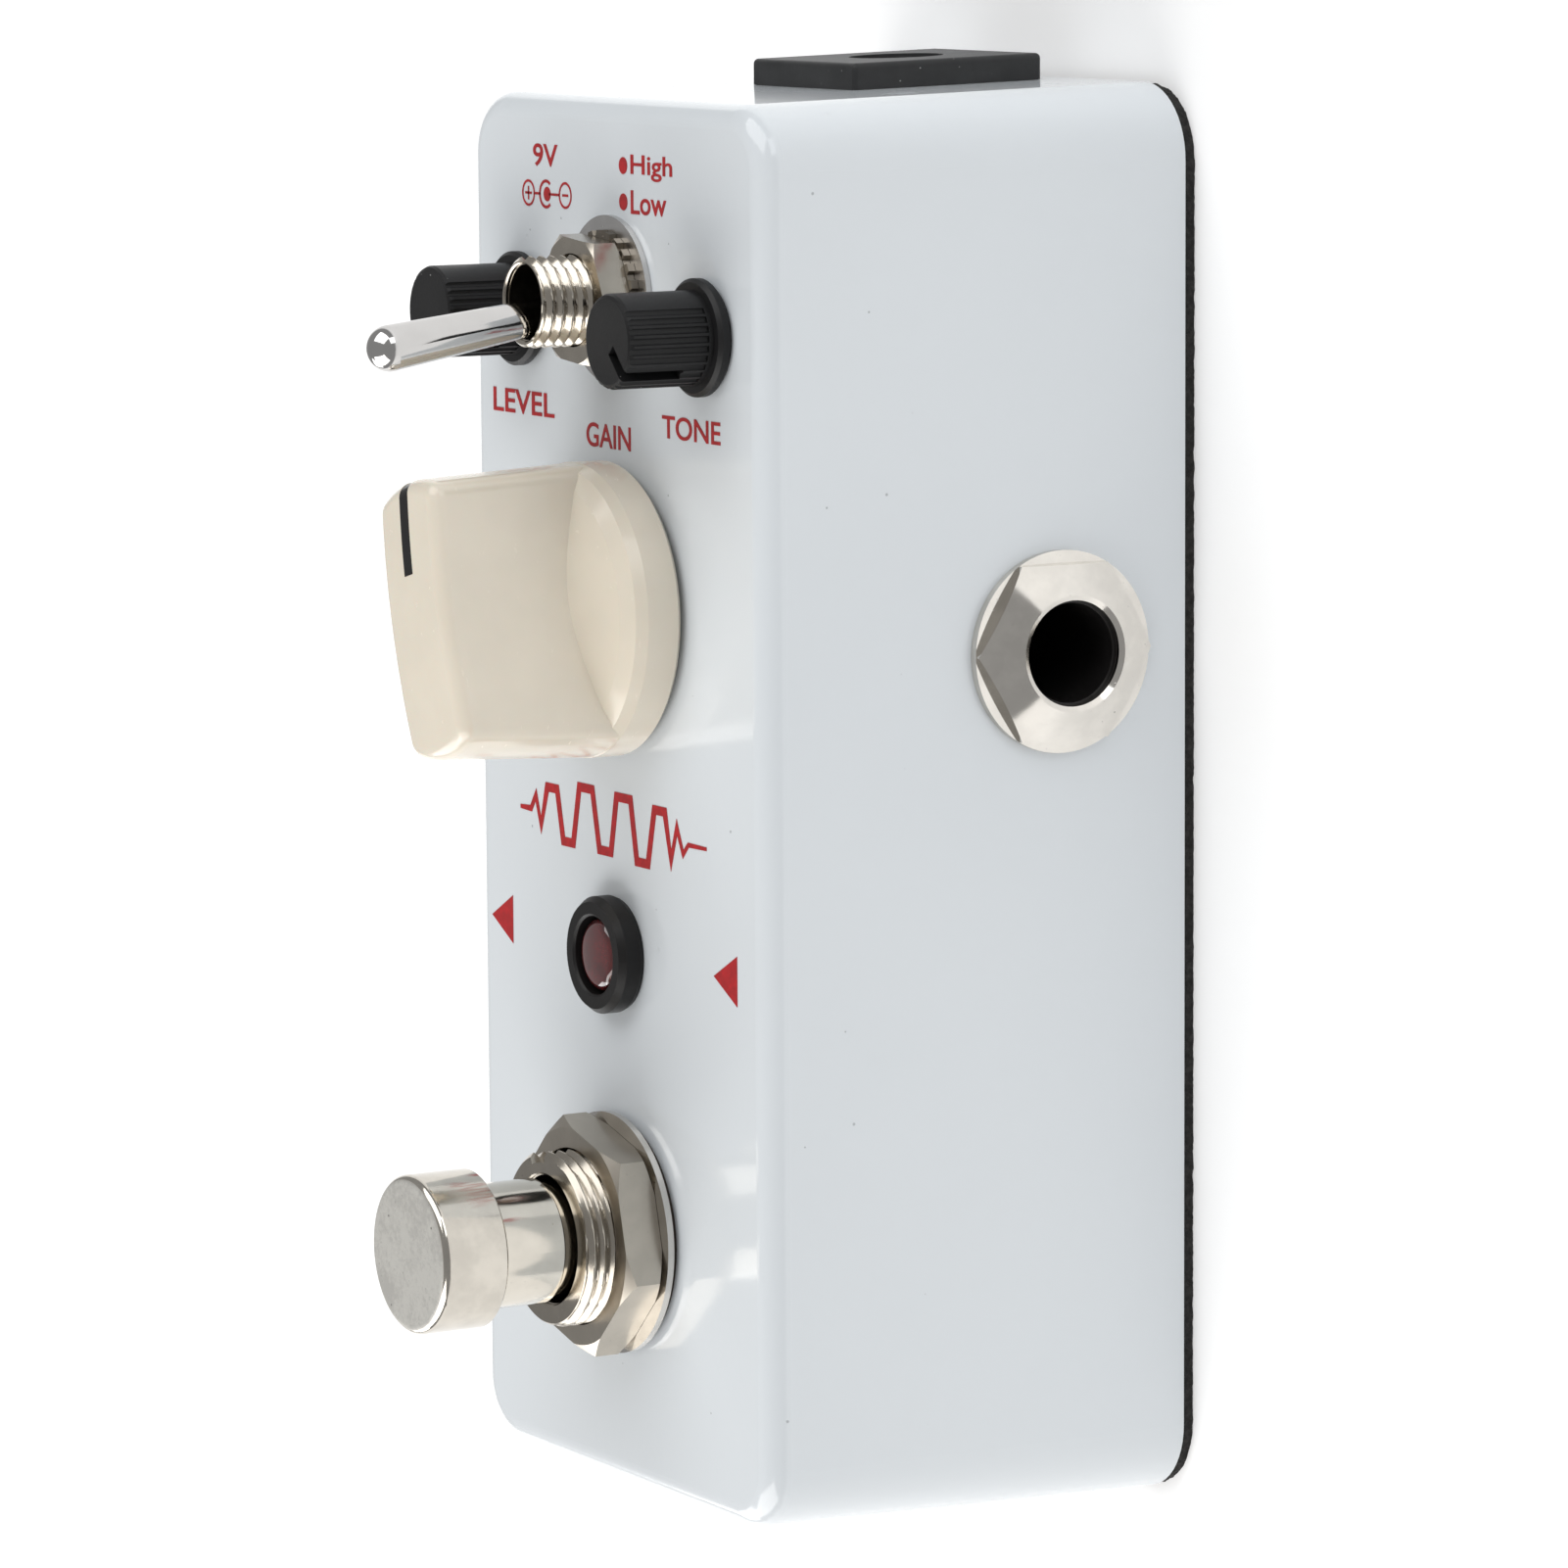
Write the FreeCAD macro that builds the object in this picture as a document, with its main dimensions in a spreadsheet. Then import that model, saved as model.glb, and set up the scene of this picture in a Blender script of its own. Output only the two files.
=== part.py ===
import FreeCAD, Part
import math
import os
import Sketcher

# A miniature guitar effects pedal.  Millimetres.  The origin is the middle of the pad's underside:
# +X is the side with the input socket, +Y is the end with the power socket, +Z is the control face.

SIZES = {
    # overall casting
    "body_length": 93.5,
    "body_width": 41.0,
    "body_corner": 5.0,
    "face_height": 32.0,
    "face_thickness": 2.2,
    "face_edge_round": 1.6,
    "wall": 2.0,
    "draft_inset": 0.84,
    "draft_angle": 1.54,
    # pad, base plate and the screws that hold it
    "pad_thickness": 0.8,
    "pad_hole_radius": 3.2,
    "plate_thickness": 1.5,
    "plate_rim": 1.2,
    "plate_gap": 0.15,
    "boss_across": 15.4,
    "boss_along": 41.6,
    "boss_radius": 3.2,
    "boss_hole_radius": 1.55,
    "screw_radius": 1.45,
    "screw_head_radius": 2.7,
    "screw_length": 9.0,
    # general gaps
    "seat_gap": 0.02,
    "running_gap": 0.05,
    # power socket
    "power_half_width": 6.7,
    "power_low": 3.07,
    "power_high": 17.5,
    "power_front_low": 48.45,
    "power_front_high": 48.05,
    "power_body_half": 5.5,
    "power_body_low": 4.3,
    "power_body_high": 16.3,
    "power_body_back": 33.0,
    "power_centre": 10.3,
    "power_bore_radius": 3.15,
    "power_bore_floor": 39.0,
    "power_pin_radius": 1.05,
    "power_pin_root": 1.3,
    "power_pin_front": 47.5,
    # quarter-inch sockets
    "jack_height": 10.35,
    "input_along": 10.4,
    "output_along": -4.2,
    "jack_bore_radius": 3.25,
    "jack_mouth_radius": 3.45,
    "jack_bushing_radius": 4.5,
    "jack_flange_radius": 6.6,
    "jack_flange_thickness": 0.45,
    "jack_hex_flats": 11.4,
    "jack_front": 2.0,
    "jack_inner_seat": -2.25,
    "jack_collar_radius": 5.6,
    "jack_body_front": -3.85,
    "jack_body_back": -29.6,
    "jack_body_half": 5.75,
    "jack_body_bore": 3.65,
    # circuit board
    "board_under": 18.0,
    "board_thickness": 1.6,
    "board_half_width": 17.0,
    "board_end_low": -18.5,
    "board_end_high": 38.0,
    "board_slot_half": 4.7,
    "board_slot_start": 25.9,
    # indicator
    "lamp_across": -0.2,
    "lamp_along": -10.25,
    "lamp_bezel_radius": 3.9,
    "lamp_bezel_front": 33.82,
    "lamp_opening_radius": 2.62,
    "lamp_barrel_radius": 3.25,
    "lamp_barrel_low": 26.5,
    "lamp_radius": 2.5,
    "lamp_top": 33.75,
    "lamp_low": 25.5,
    # large control
    "dist_along": 12.7,
    "dist_can_radius": 8.2,
    "dist_can_low": 21.6,
    "dist_can_high": 28.7,
    "dist_bushing_radius": 3.45,
    "dist_bushing_top": 36.0,
    "dist_shaft_radius": 3.0,
    "dist_shaft_top": 43.2,
    "dist_nut_flats": 10.0,
    "knob_base": 32.35,
    "knob_radius": 9.7,
    "knob_wall_top": 34.85,
    "knob_shoulder_radius": 8.3,
    "knob_shoulder_top": 36.2,
    "knob_cone_radius": 4.2,
    "knob_cone_top": 37.65,
    "knob_top": 46.8,
    "knob_crown": 0.5,
    "knob_top_radius": 9.05,
    "knob_bar_half_low": 4.25,
    "knob_bar_half_high": 4.0,
    "knob_edge_round": 1.0,
    "knob_corner": 1.2,
    "knob_angle": 14.6,
    "mark_start": 3.0,
    "mark_half_width": 0.55,
    "mark_depth": 1.3,
    # small controls
    "small_across": 12.2,
    "volume_along": 31.7,
    "contour_along": 31.1,
    "small_hole_radius": 3.5,
    "small_flange_radius": 3.8,
    "small_flange_under": 32.15,
    "small_flange_top": 33.0,
    "small_knob_radius": 3.05,
    "small_knob_top": 39.1,
    "small_bore_radius": 1.6,
    "small_shaft_radius": 1.55,
    "small_shaft_top": 37.2,
    "small_pot_half_width": 4.8,
    "small_pot_half_length": 5.5,
    "small_pot_low": 22.8,
    "small_pot_high": 29.4,
    "small_angle": -136.0,
    # foot switch
    "foot_along": -28.85,
    "foot_hole_radius": 6.05,
    "foot_insulator_radius": 7.6,
    "foot_insulator_thickness": 0.4,
    "foot_washer_radius": 8.05,
    "foot_washer_thickness": 0.45,
    "foot_nut_flats": 14.0,
    "foot_nut_thickness": 2.7,
    "foot_bushing_radius": 5.85,
    "foot_bushing_top": 37.65,
    "foot_bore_radius": 4.27,
    "foot_stem_radius": 4.15,
    "foot_stem_neck": 3.85,
    "foot_stem_shoulder": 38.35,
    "foot_case_half": 8.4,
    "foot_case_low": 12.7,
    "foot_case_high": 26.2,
    "foot_well_radius": 6.2,
    "foot_well_floor": 15.0,
    "foot_collar_radius": 5.7,
    "foot_collar_low": 24.2,
    "foot_stem_top": 43.1,
    "foot_spigot_radius": 2.5,
    "foot_cap_radius": 5.25,
    "foot_cap_low": 43.15,
    "foot_cap_top": 47.9,
    "foot_spring_radius": 3.6,
    "foot_spring_wire": 0.4,
    "foot_spring_turns": 5.5,
    # toggle switch
    "toggle_along": 32.95,
    "toggle_pivot": 31.2,
    "toggle_lean": 8.6,
    "toggle_hole_radius": 3.1,
    "toggle_washer_radius": 5.45,
    "toggle_washer_top": 32.42,
    "toggle_lock_radius": 4.5,
    "toggle_lock_top": 32.95,
    "toggle_nut_flats": 8.0,
    "toggle_nut_top": 35.0,
    "toggle_bushing_radius": 3.0,
    "toggle_bushing_top": 38.6,
    "toggle_bore_radius": 2.45,
    "toggle_ball_radius": 2.3,
    "toggle_case_half_width": 3.9,
    "toggle_case_half_length": 6.4,
    "toggle_case_low": 19.6,
    "toggle_case_high": 28.5,
    "toggle_reach": 18.8,
    "toggle_tip_radius": 1.52,
    "toggle_neck_radius": 1.15,
    "toggle_pin_radius": 0.45,
    "toggle_pin_half": 2.75,
    "rocker_knuckle": 0.6,
    "rocker_pivot": 23.2,
    "rocker_tilt": -10.0,
}


class Size:
    """A length that carries both its value and the formula that gives it."""

    def __init__(self, value, formula):
        self.value = value
        self.formula = formula

    def __add__(self, other):
        return join(self, other, "+", self.value + number(other))

    def __radd__(self, other):
        return join(other, self, "+", number(other) + self.value)

    def __sub__(self, other):
        return join(self, other, "-", self.value - number(other))

    def __rsub__(self, other):
        return join(other, self, "-", number(other) - self.value)

    def __mul__(self, other):
        return join(self, other, "*", self.value * number(other))

    def __rmul__(self, other):
        return join(other, self, "*", number(other) * self.value)

    def __truediv__(self, other):
        return join(self, other, "/", self.value / number(other))

    def __neg__(self):
        return Size(-self.value, "(0 - %s)" % self.formula)


def number(item):
    return item.value if isinstance(item, Size) else float(item)


def formula(item):
    return item.formula if isinstance(item, Size) else "%.6f" % float(item)


def join(left, right, sign, value):
    return Size(value, "(%s %s %s)" % (formula(left), sign, formula(right)))


class Sheet:
    """The spreadsheet of driving dimensions; sheet.name gives a Size bound to its cell."""

    def __init__(self, doc, values):
        table = doc.addObject("Spreadsheet::Sheet", "Dimensions")
        row = 1
        for name, value in values.items():
            table.set("A%d" % row, name)
            table.set("B%d" % row, str(value))
            table.setAlias("B%d" % row, name)
            setattr(self, name, Size(float(value), "Dimensions." + name))
            row += 1
        doc.recompute()


def bind(item, path, size):
    """Make a property follow a formula; plain numbers are set as they are."""
    item.setExpression(path, formula(size))


PLANES = {"XY": "XY_Plane", "XZ": "XZ_Plane", "YZ": "YZ_Plane"}
TURNED = {"XY": 1, "XZ": -1, "YZ": 1}


class Drawing:
    """A sketch on one of a body's own planes, fixed point by point to formulas."""

    def __init__(self, body, plane="XY", level=0.0):
        self.plane = plane
        self.body = body
        self.sketch = body.newObject("Sketcher::SketchObject", body.Label + "_sketch")
        for feature in body.Origin.OriginFeatures:
            if feature.Role == PLANES[plane]:
                self.sketch.AttachmentSupport = (feature, [""])
        self.sketch.MapMode = "FlatFace"
        bind(self.sketch, "AttachmentOffset.Base.z", TURNED[plane] * (level if isinstance(level, Size)
                                                                      else float(level)))

    def fix(self, geometry, end, across, along):
        """Hold one end of a piece of geometry at a place given by two formulas."""
        for kind, axis, size in (("DistanceX", -2, across), ("DistanceY", -1, along)):
            value = number(size)
            if abs(value) < 1e-9:
                self.sketch.addConstraint(Sketcher.Constraint("PointOnObject", geometry, end, axis))
            elif value > 0:
                index = self.sketch.addConstraint(
                    Sketcher.Constraint(kind, -1, 1, geometry, end, value))
                bind(self.sketch, "Constraints[%d]" % index, size)
            else:
                index = self.sketch.addConstraint(
                    Sketcher.Constraint(kind, geometry, end, -1, 1, -value))
                bind(self.sketch, "Constraints[%d]" % index, -size)

    def polygon(self, points):
        """A closed run of straight lines through the points."""
        count = len(points)
        base = self.sketch.GeometryCount
        for index in range(count):
            here = points[index]
            there = points[(index + 1) % count]
            self.sketch.addGeometry(Part.LineSegment(
                FreeCAD.Vector(number(here[0]), number(here[1]), 0),
                FreeCAD.Vector(number(there[0]), number(there[1]), 0)), False)
        for index in range(count):
            follower = base + (index + 1) % count
            self.sketch.addConstraint(Sketcher.Constraint("Coincident", base + index, 2, follower, 1))
        for index in range(count):
            self.fix(base + index, 1, points[index][0], points[index][1])
        return self

    def rectangle(self, low, high):
        """A rectangle between two opposite corners."""
        return self.polygon([low, (high[0], low[1]), high, (low[0], high[1])])

    def circle(self, across, along, radius):
        index = self.sketch.addGeometry(Part.Circle(
            FreeCAD.Vector(number(across), number(along), 0), FreeCAD.Vector(0, 0, 1),
            number(radius)), False)
        self.fix(index, 3, across, along)
        limit = self.sketch.addConstraint(Sketcher.Constraint("Radius", index, number(radius)))
        bind(self.sketch, "Constraints[%d]" % limit, radius)
        return self

    def hexagon(self, across, along, flats, turn):
        """A regular hexagon; turn is the direction of one corner in degrees."""
        corner = flats / (2.0 * math.cos(math.pi / 6.0))
        points = []
        for step in range(6):
            angle = math.radians(turn + 60.0 * step)
            points.append((corner * math.cos(angle) + across, corner * math.sin(angle) + along))
        return self.polygon(points)

    def rounded_rectangle(self, half_across, half_along, radius):
        """A rectangle about the origin with tangent corner arcs."""
        sketch = self.sketch
        half_a = number(half_across)
        half_b = number(half_along)
        r = number(radius)
        corners = [(1, 1, 0), (-1, 1, 90), (-1, -1, 180), (1, -1, 270)]
        base = sketch.GeometryCount
        for sign_a, sign_b, start in corners:
            circle = Part.Circle(FreeCAD.Vector(sign_a * (half_a - r), sign_b * (half_b - r), 0),
                                 FreeCAD.Vector(0, 0, 1), r)
            sketch.addGeometry(Part.ArcOfCircle(circle, math.radians(start),
                                                math.radians(start + 90)), False)
        for index in range(4):
            here = sketch.Geometry[base + index]
            there = sketch.Geometry[base + (index + 1) % 4]
            sketch.addGeometry(Part.LineSegment(here.EndPoint, there.StartPoint), False)
        for index, (sign_a, sign_b, start) in enumerate(corners):
            line = base + 4 + index
            following = base + (index + 1) % 4
            sketch.addConstraint(Sketcher.Constraint("Tangent", base + index, 2, line, 1))
            sketch.addConstraint(Sketcher.Constraint("Tangent", line, 2, following, 1))
            self.fix(base + index, 3, (half_across - radius) * sign_a, (half_along - radius) * sign_b)
            limit = sketch.addConstraint(Sketcher.Constraint("Radius", base + index, r))
            bind(sketch, "Constraints[%d]" % limit, radius)
        return self

    def add(self, length, side=1, taper=None):
        """Pad the drawing; side is the direction along the plane's own axis."""
        return self.extrude("PartDesign::Pad", length, side * TURNED[self.plane] < 0, taper)

    def remove(self, length, side=1, taper=None):
        """Pocket the drawing; side is the direction along the plane's own axis."""
        return self.extrude("PartDesign::Pocket", length, side * TURNED[self.plane] > 0, taper)

    def extrude(self, kind, length, reverse, taper):
        feature = self.body.newObject(kind, self.body.Label + "_" + kind[12:].lower())
        feature.Profile = self.sketch
        feature.Type = "Length"
        feature.Reversed = reverse
        bind(feature, "Length", length)
        if taper is not None:
            bind(feature, "TaperAngle", taper)
        self.sketch.Visibility = False
        return feature

    def spin(self, kind="PartDesign::Revolution"):
        """Turn the drawing once about its upright axis."""
        feature = self.body.newObject(kind, self.body.Label + "_turned")
        feature.Profile = self.sketch
        feature.ReferenceAxis = (self.sketch, ["V_Axis"])
        feature.Angle = 360.0
        self.sketch.Visibility = False
        return feature

    def hollow(self):
        """Cut away what the drawing sweeps about its upright axis."""
        return self.spin("PartDesign::Groove")


def new_body(name):
    body = doc.addObject("PartDesign::Body", name)
    body.Label = name
    return body


def place(item, across=0.0, along=0.0, height=0.0):
    """Bind the position of a finished sub-part."""
    for letter, size in (("x", across), ("y", along), ("z", height)):
        if isinstance(size, Size):
            bind(item, "Placement.Base." + letter, size)
        else:
            setattr(item.Placement.Base, letter, float(size))
            bind(item, "Placement.Base." + letter, size)


def turn(item, axis, degrees):
    """Set the rotation of a finished sub-part."""
    item.Placement = FreeCAD.Placement(item.Placement.Base,
                                       FreeCAD.Rotation(FreeCAD.Vector(*axis), number(degrees)))


def edges_where(feature, test):
    doc.recompute()
    return ["Edge%d" % (index + 1) for index, edge in enumerate(feature.Shape.Edges) if test(edge)]


def dress(body, feature, kind, size, test):
    """Fillet or chamfer the edges of the latest feature that pass the test."""
    names = edges_where(feature, test)
    if not names:
        raise ValueError("no edges to dress on " + body.Label)
    finish = body.newObject("PartDesign::" + kind, body.Label + "_" + kind.lower())
    finish.Base = (feature, names)
    bind(finish, "Radius" if kind == "Fillet" else "Size", size)
    return finish


def is_round(edge, radius):
    curve = edge.Curve
    return isinstance(curve, Part.Circle) and abs(curve.Radius - number(radius)) < 1e-4


def at_height(edge, height):
    box = edge.BoundBox
    return abs(box.ZMin - number(height)) < 1e-4 and abs(box.ZMax - number(height)) < 1e-4


def box(name, low, high):
    """A Part box between two corners given by formulas."""
    item = doc.addObject("Part::Box", name)
    for index, (side, letter) in enumerate((("Length", "x"), ("Width", "y"), ("Height", "z"))):
        bind(item, side, as_size(high[index]) - low[index])
        bind(item, "Placement.Base." + letter, low[index])
    return item


def as_size(item):
    return item if isinstance(item, Size) else Size(float(item), "%.6f" % float(item))


def cylinder(name, radius, low, high, across=0.0, along=0.0):
    """An upright Part cylinder."""
    item = doc.addObject("Part::Cylinder", name)
    bind(item, "Radius", radius)
    bind(item, "Height", as_size(high) - low)
    place(item, across, along, low)
    return item


def fused(name, items):
    item = doc.addObject("Part::MultiFuse", name)
    item.Shapes = items
    return item


def group(name, items):
    """Several separate solids that share one sub-part."""
    item = doc.addObject("Part::Compound", name)
    item.Links = items
    return item


def mirrored(name, source, normal):
    item = doc.addObject("Part::Mirroring", name)
    item.Source = source
    item.Normal = FreeCAD.Vector(*normal)
    return item


subparts = []


def keep(item, name):
    """Register a finished sub-part under the name of its file."""
    item.Label = name
    subparts.append(item)
    return item


def ring(name, inner, outer, low, high):
    """A washer-like body turned about its own upright axis."""
    body = new_body(name)
    Drawing(body, "XZ").polygon([(inner, low), (outer, low), (outer, high), (inner, high)]).spin()
    return body


def hex_nut(name, flats, hole, low, high, corner_turn, chamfer):
    """A nut with its corners turned off on both faces."""
    body = new_body(name)
    corner = flats / (2.0 * math.cos(math.pi / 6.0))
    slope = chamfer * math.tan(math.pi / 6.0)
    Drawing(body, "XZ").polygon([
        (hole, low), (corner - chamfer, low), (corner, low + slope),
        (corner, high - slope), (corner - chamfer, high), (hole, high)]).spin()
    trim = Drawing(body, "XY", low - 0.5)
    trim.hexagon(0.0, 0.0, flats, corner_turn)
    trim.circle(0.0, 0.0, corner + 2.0)
    trim.remove(high - low + 1.0)
    return body


def make_enclosure(s):
    body = new_body("enclosure")
    depth = s.face_height - s.pad_thickness
    outer = Drawing(body, "XY", s.pad_thickness)
    outer.rounded_rectangle(s.body_width / 2, s.body_length / 2, s.body_corner)
    shell = outer.add(depth, 1, -s.draft_angle)
    rounded = dress(body, shell, "Fillet", s.face_edge_round, lambda e: at_height(e, s.face_height))
    cavity = Drawing(body, "XY", s.pad_thickness)
    cavity.rounded_rectangle(s.body_width / 2 - s.wall, s.body_length / 2 - s.wall,
                             s.body_corner - s.wall)
    cavity.remove(depth - s.face_thickness, 1, -s.draft_angle)
    rabbet = Drawing(body, "XY", s.pad_thickness)
    rabbet.rounded_rectangle(s.body_width / 2 - s.plate_rim, s.body_length / 2 - s.plate_rim,
                             s.body_corner - s.plate_rim)
    rabbet.remove(s.plate_thickness)
    boss_foot = s.pad_thickness + s.plate_thickness
    bosses = Drawing(body, "XY", boss_foot)
    for side in (-1, 1):
        for end in (-1, 1):
            bosses.circle(s.boss_across * side, s.boss_along * end, s.boss_radius)
    bosses.add(s.face_height - s.face_thickness - boss_foot + 0.2)
    holes = Drawing(body, "XY", boss_foot)
    for side in (-1, 1):
        for end in (-1, 1):
            holes.circle(s.boss_across * side, s.boss_along * end, s.boss_hole_radius)
    holes.remove(s.screw_length + 2.0)
    controls = Drawing(body, "XY", s.face_height + 1.0)
    controls.circle(0.0, s.toggle_along, s.toggle_hole_radius)
    controls.circle(s.small_across, s.contour_along, s.small_hole_radius)
    controls.circle(-s.small_across, s.volume_along, s.small_hole_radius)
    controls.circle(0.0, s.dist_along, s.dist_bushing_radius + 0.15)
    controls.circle(s.lamp_across, s.lamp_along, s.lamp_barrel_radius + 0.1)
    controls.circle(0.0, s.foot_along, s.foot_hole_radius)
    controls.remove(s.face_thickness + 2.0, -1)
    for side, along in ((1, s.input_along), (-1, s.output_along)):
        socket = Drawing(body, "YZ", (s.body_width / 2 + 1.0) * side)
        socket.circle(along, s.jack_height, s.jack_bushing_radius + 0.15)
        socket.remove(s.wall + 3.5, -side)
    power = Drawing(body, "XZ", s.body_length / 2 + 1.0)
    margin = 0.12
    power.rectangle((-s.power_body_half - margin, s.power_body_low - margin),
                    (s.power_body_half + margin, s.power_body_high + margin))
    power.remove(s.wall + 3.0, -1)
    return keep(body, "enclosure")


def make_base(s):
    plate = new_body("base_plate")
    outline = Drawing(plate, "XY", s.pad_thickness)
    rim = s.plate_rim + s.plate_gap
    outline.rounded_rectangle(s.body_width / 2 - rim, s.body_length / 2 - rim, s.body_corner - rim)
    outline.add(s.plate_thickness)
    holes = Drawing(plate, "XY", s.pad_thickness - 0.5)
    clear_radius = s.screw_radius + 0.25
    for side in (-1, 1):
        for end in (-1, 1):
            holes.circle(s.boss_across * side, s.boss_along * end, clear_radius)
    drilled = holes.remove(s.plate_thickness + 1.0)
    dress(plate, drilled, "Chamfer", s.screw_head_radius - s.screw_radius,
          lambda e: is_round(e, clear_radius) and at_height(e, s.pad_thickness))
    keep(plate, "base_plate")

    pad = new_body("rubber_pad")
    outline = Drawing(pad, "XY")
    outline.rounded_rectangle(s.body_width / 2, s.body_length / 2, s.body_corner)
    for side in (-1, 1):
        for end in (-1, 1):
            outline.circle(s.boss_across * side, s.boss_along * end, s.pad_hole_radius)
    outline.add(s.pad_thickness - s.seat_gap)
    keep(pad, "rubber_pad")

    screw = new_body("base_screw")
    low = s.pad_thickness + 0.05
    throat = low + (s.screw_head_radius - s.screw_radius)
    Drawing(screw, "XZ").polygon([
        (0.0, low), (s.screw_head_radius, low), (s.screw_radius, throat),
        (s.screw_radius, low + s.screw_length - 0.8), (s.screw_radius - 0.7, low + s.screw_length),
        (0.0, low + s.screw_length)]).spin()
    recess = Drawing(screw, "XY", low)
    arm = 1.5
    slim = 0.28
    recess.polygon([(arm, -slim), (arm, slim), (slim, slim), (slim, arm), (-slim, arm), (-slim, slim),
                    (-arm, slim), (-arm, -slim), (-slim, -slim), (-slim, -arm), (slim, -arm),
                    (slim, -slim)])
    recess.remove(1.0)
    place(screw, s.boss_across, s.boss_along)
    across = mirrored("base_screw_across", screw, (1, 0, 0))
    along = mirrored("base_screw_along", screw, (0, 1, 0))
    both = mirrored("base_screw_both", across, (0, 1, 0))
    keep(group("base_screws", [screw, across, along, both]), "base_screws")


def make_power_socket(s):
    slope = s.draft_inset / (s.face_height - s.pad_thickness)
    seat_low = s.body_length / 2 - slope * (s.power_low - s.pad_thickness) + s.seat_gap
    seat_high = s.body_length / 2 - slope * (s.power_high - s.pad_thickness) + s.seat_gap
    body = new_body("power_socket_body")
    flange = Drawing(body, "YZ", -s.power_half_width)
    flange.polygon([(seat_low, s.power_low), (s.power_front_low, s.power_low),
                    (s.power_front_high, s.power_high), (seat_high, s.power_high)])
    block = flange.add(s.power_half_width * 2)
    dress(body, block, "Fillet", 0.35, lambda e: e.BoundBox.YMax > number(seat_low) + 0.5)
    barrel = Drawing(body, "XZ", s.power_body_back)
    barrel.rectangle((-s.power_body_half, s.power_body_low), (s.power_body_half, s.power_body_high))
    barrel.add(seat_low - s.power_body_back + 0.3)
    bore = Drawing(body, "XZ", s.power_bore_floor)
    bore.circle(0.0, s.power_centre, s.power_bore_radius)
    bore.remove(s.power_front_low + 1.0 - s.power_bore_floor)
    back = Drawing(body, "XZ", s.power_body_back - 1.0)
    back.circle(0.0, s.power_centre, s.power_pin_root + s.running_gap)
    back.remove(s.power_bore_floor - s.power_body_back + 2.0)
    slot = Drawing(body, "XZ", s.power_body_back - 1.0)
    slot.rectangle((-1.1, s.power_centre - 4.2), (1.1, s.power_centre - 2.6))
    slot.remove(12.5)
    keep(body, "power_socket_body")

    pin = new_body("power_socket_pin")
    root = s.power_bore_floor - s.power_body_back + 1.8 + 0.3
    Drawing(pin, "XZ").polygon([
        (0.0, 0.0), (1.9, 0.0), (1.9, 1.6), (s.power_pin_root, 1.6), (s.power_pin_root, root),
        (s.power_pin_radius, root),
        (s.power_pin_radius, s.power_pin_front - s.power_body_back + 1.4),
        (s.power_pin_radius - 0.4, s.power_pin_front - s.power_body_back + 1.8),
        (0.0, s.power_pin_front - s.power_body_back + 1.8)]).spin()
    turn(pin, (1, 0, 0), -90.0)
    place(pin, 0.0, s.power_body_back - 1.8, s.power_centre)
    keep(pin, "power_socket_pin")

    low = s.power_centre - 3.95
    leaf = box("power_leaf", (-0.9, s.power_body_back - 2.5, low), (0.9, s.power_body_back + 11.0, low + 0.35))
    tab = box("power_tab", (-4.4, s.power_body_back - 3.0, s.power_centre + 3.0),
              (-2.6, s.power_body_back - 0.05, s.power_centre + 3.4))
    keep(group("power_socket_contacts", [leaf, tab]), "power_socket_contacts")


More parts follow.
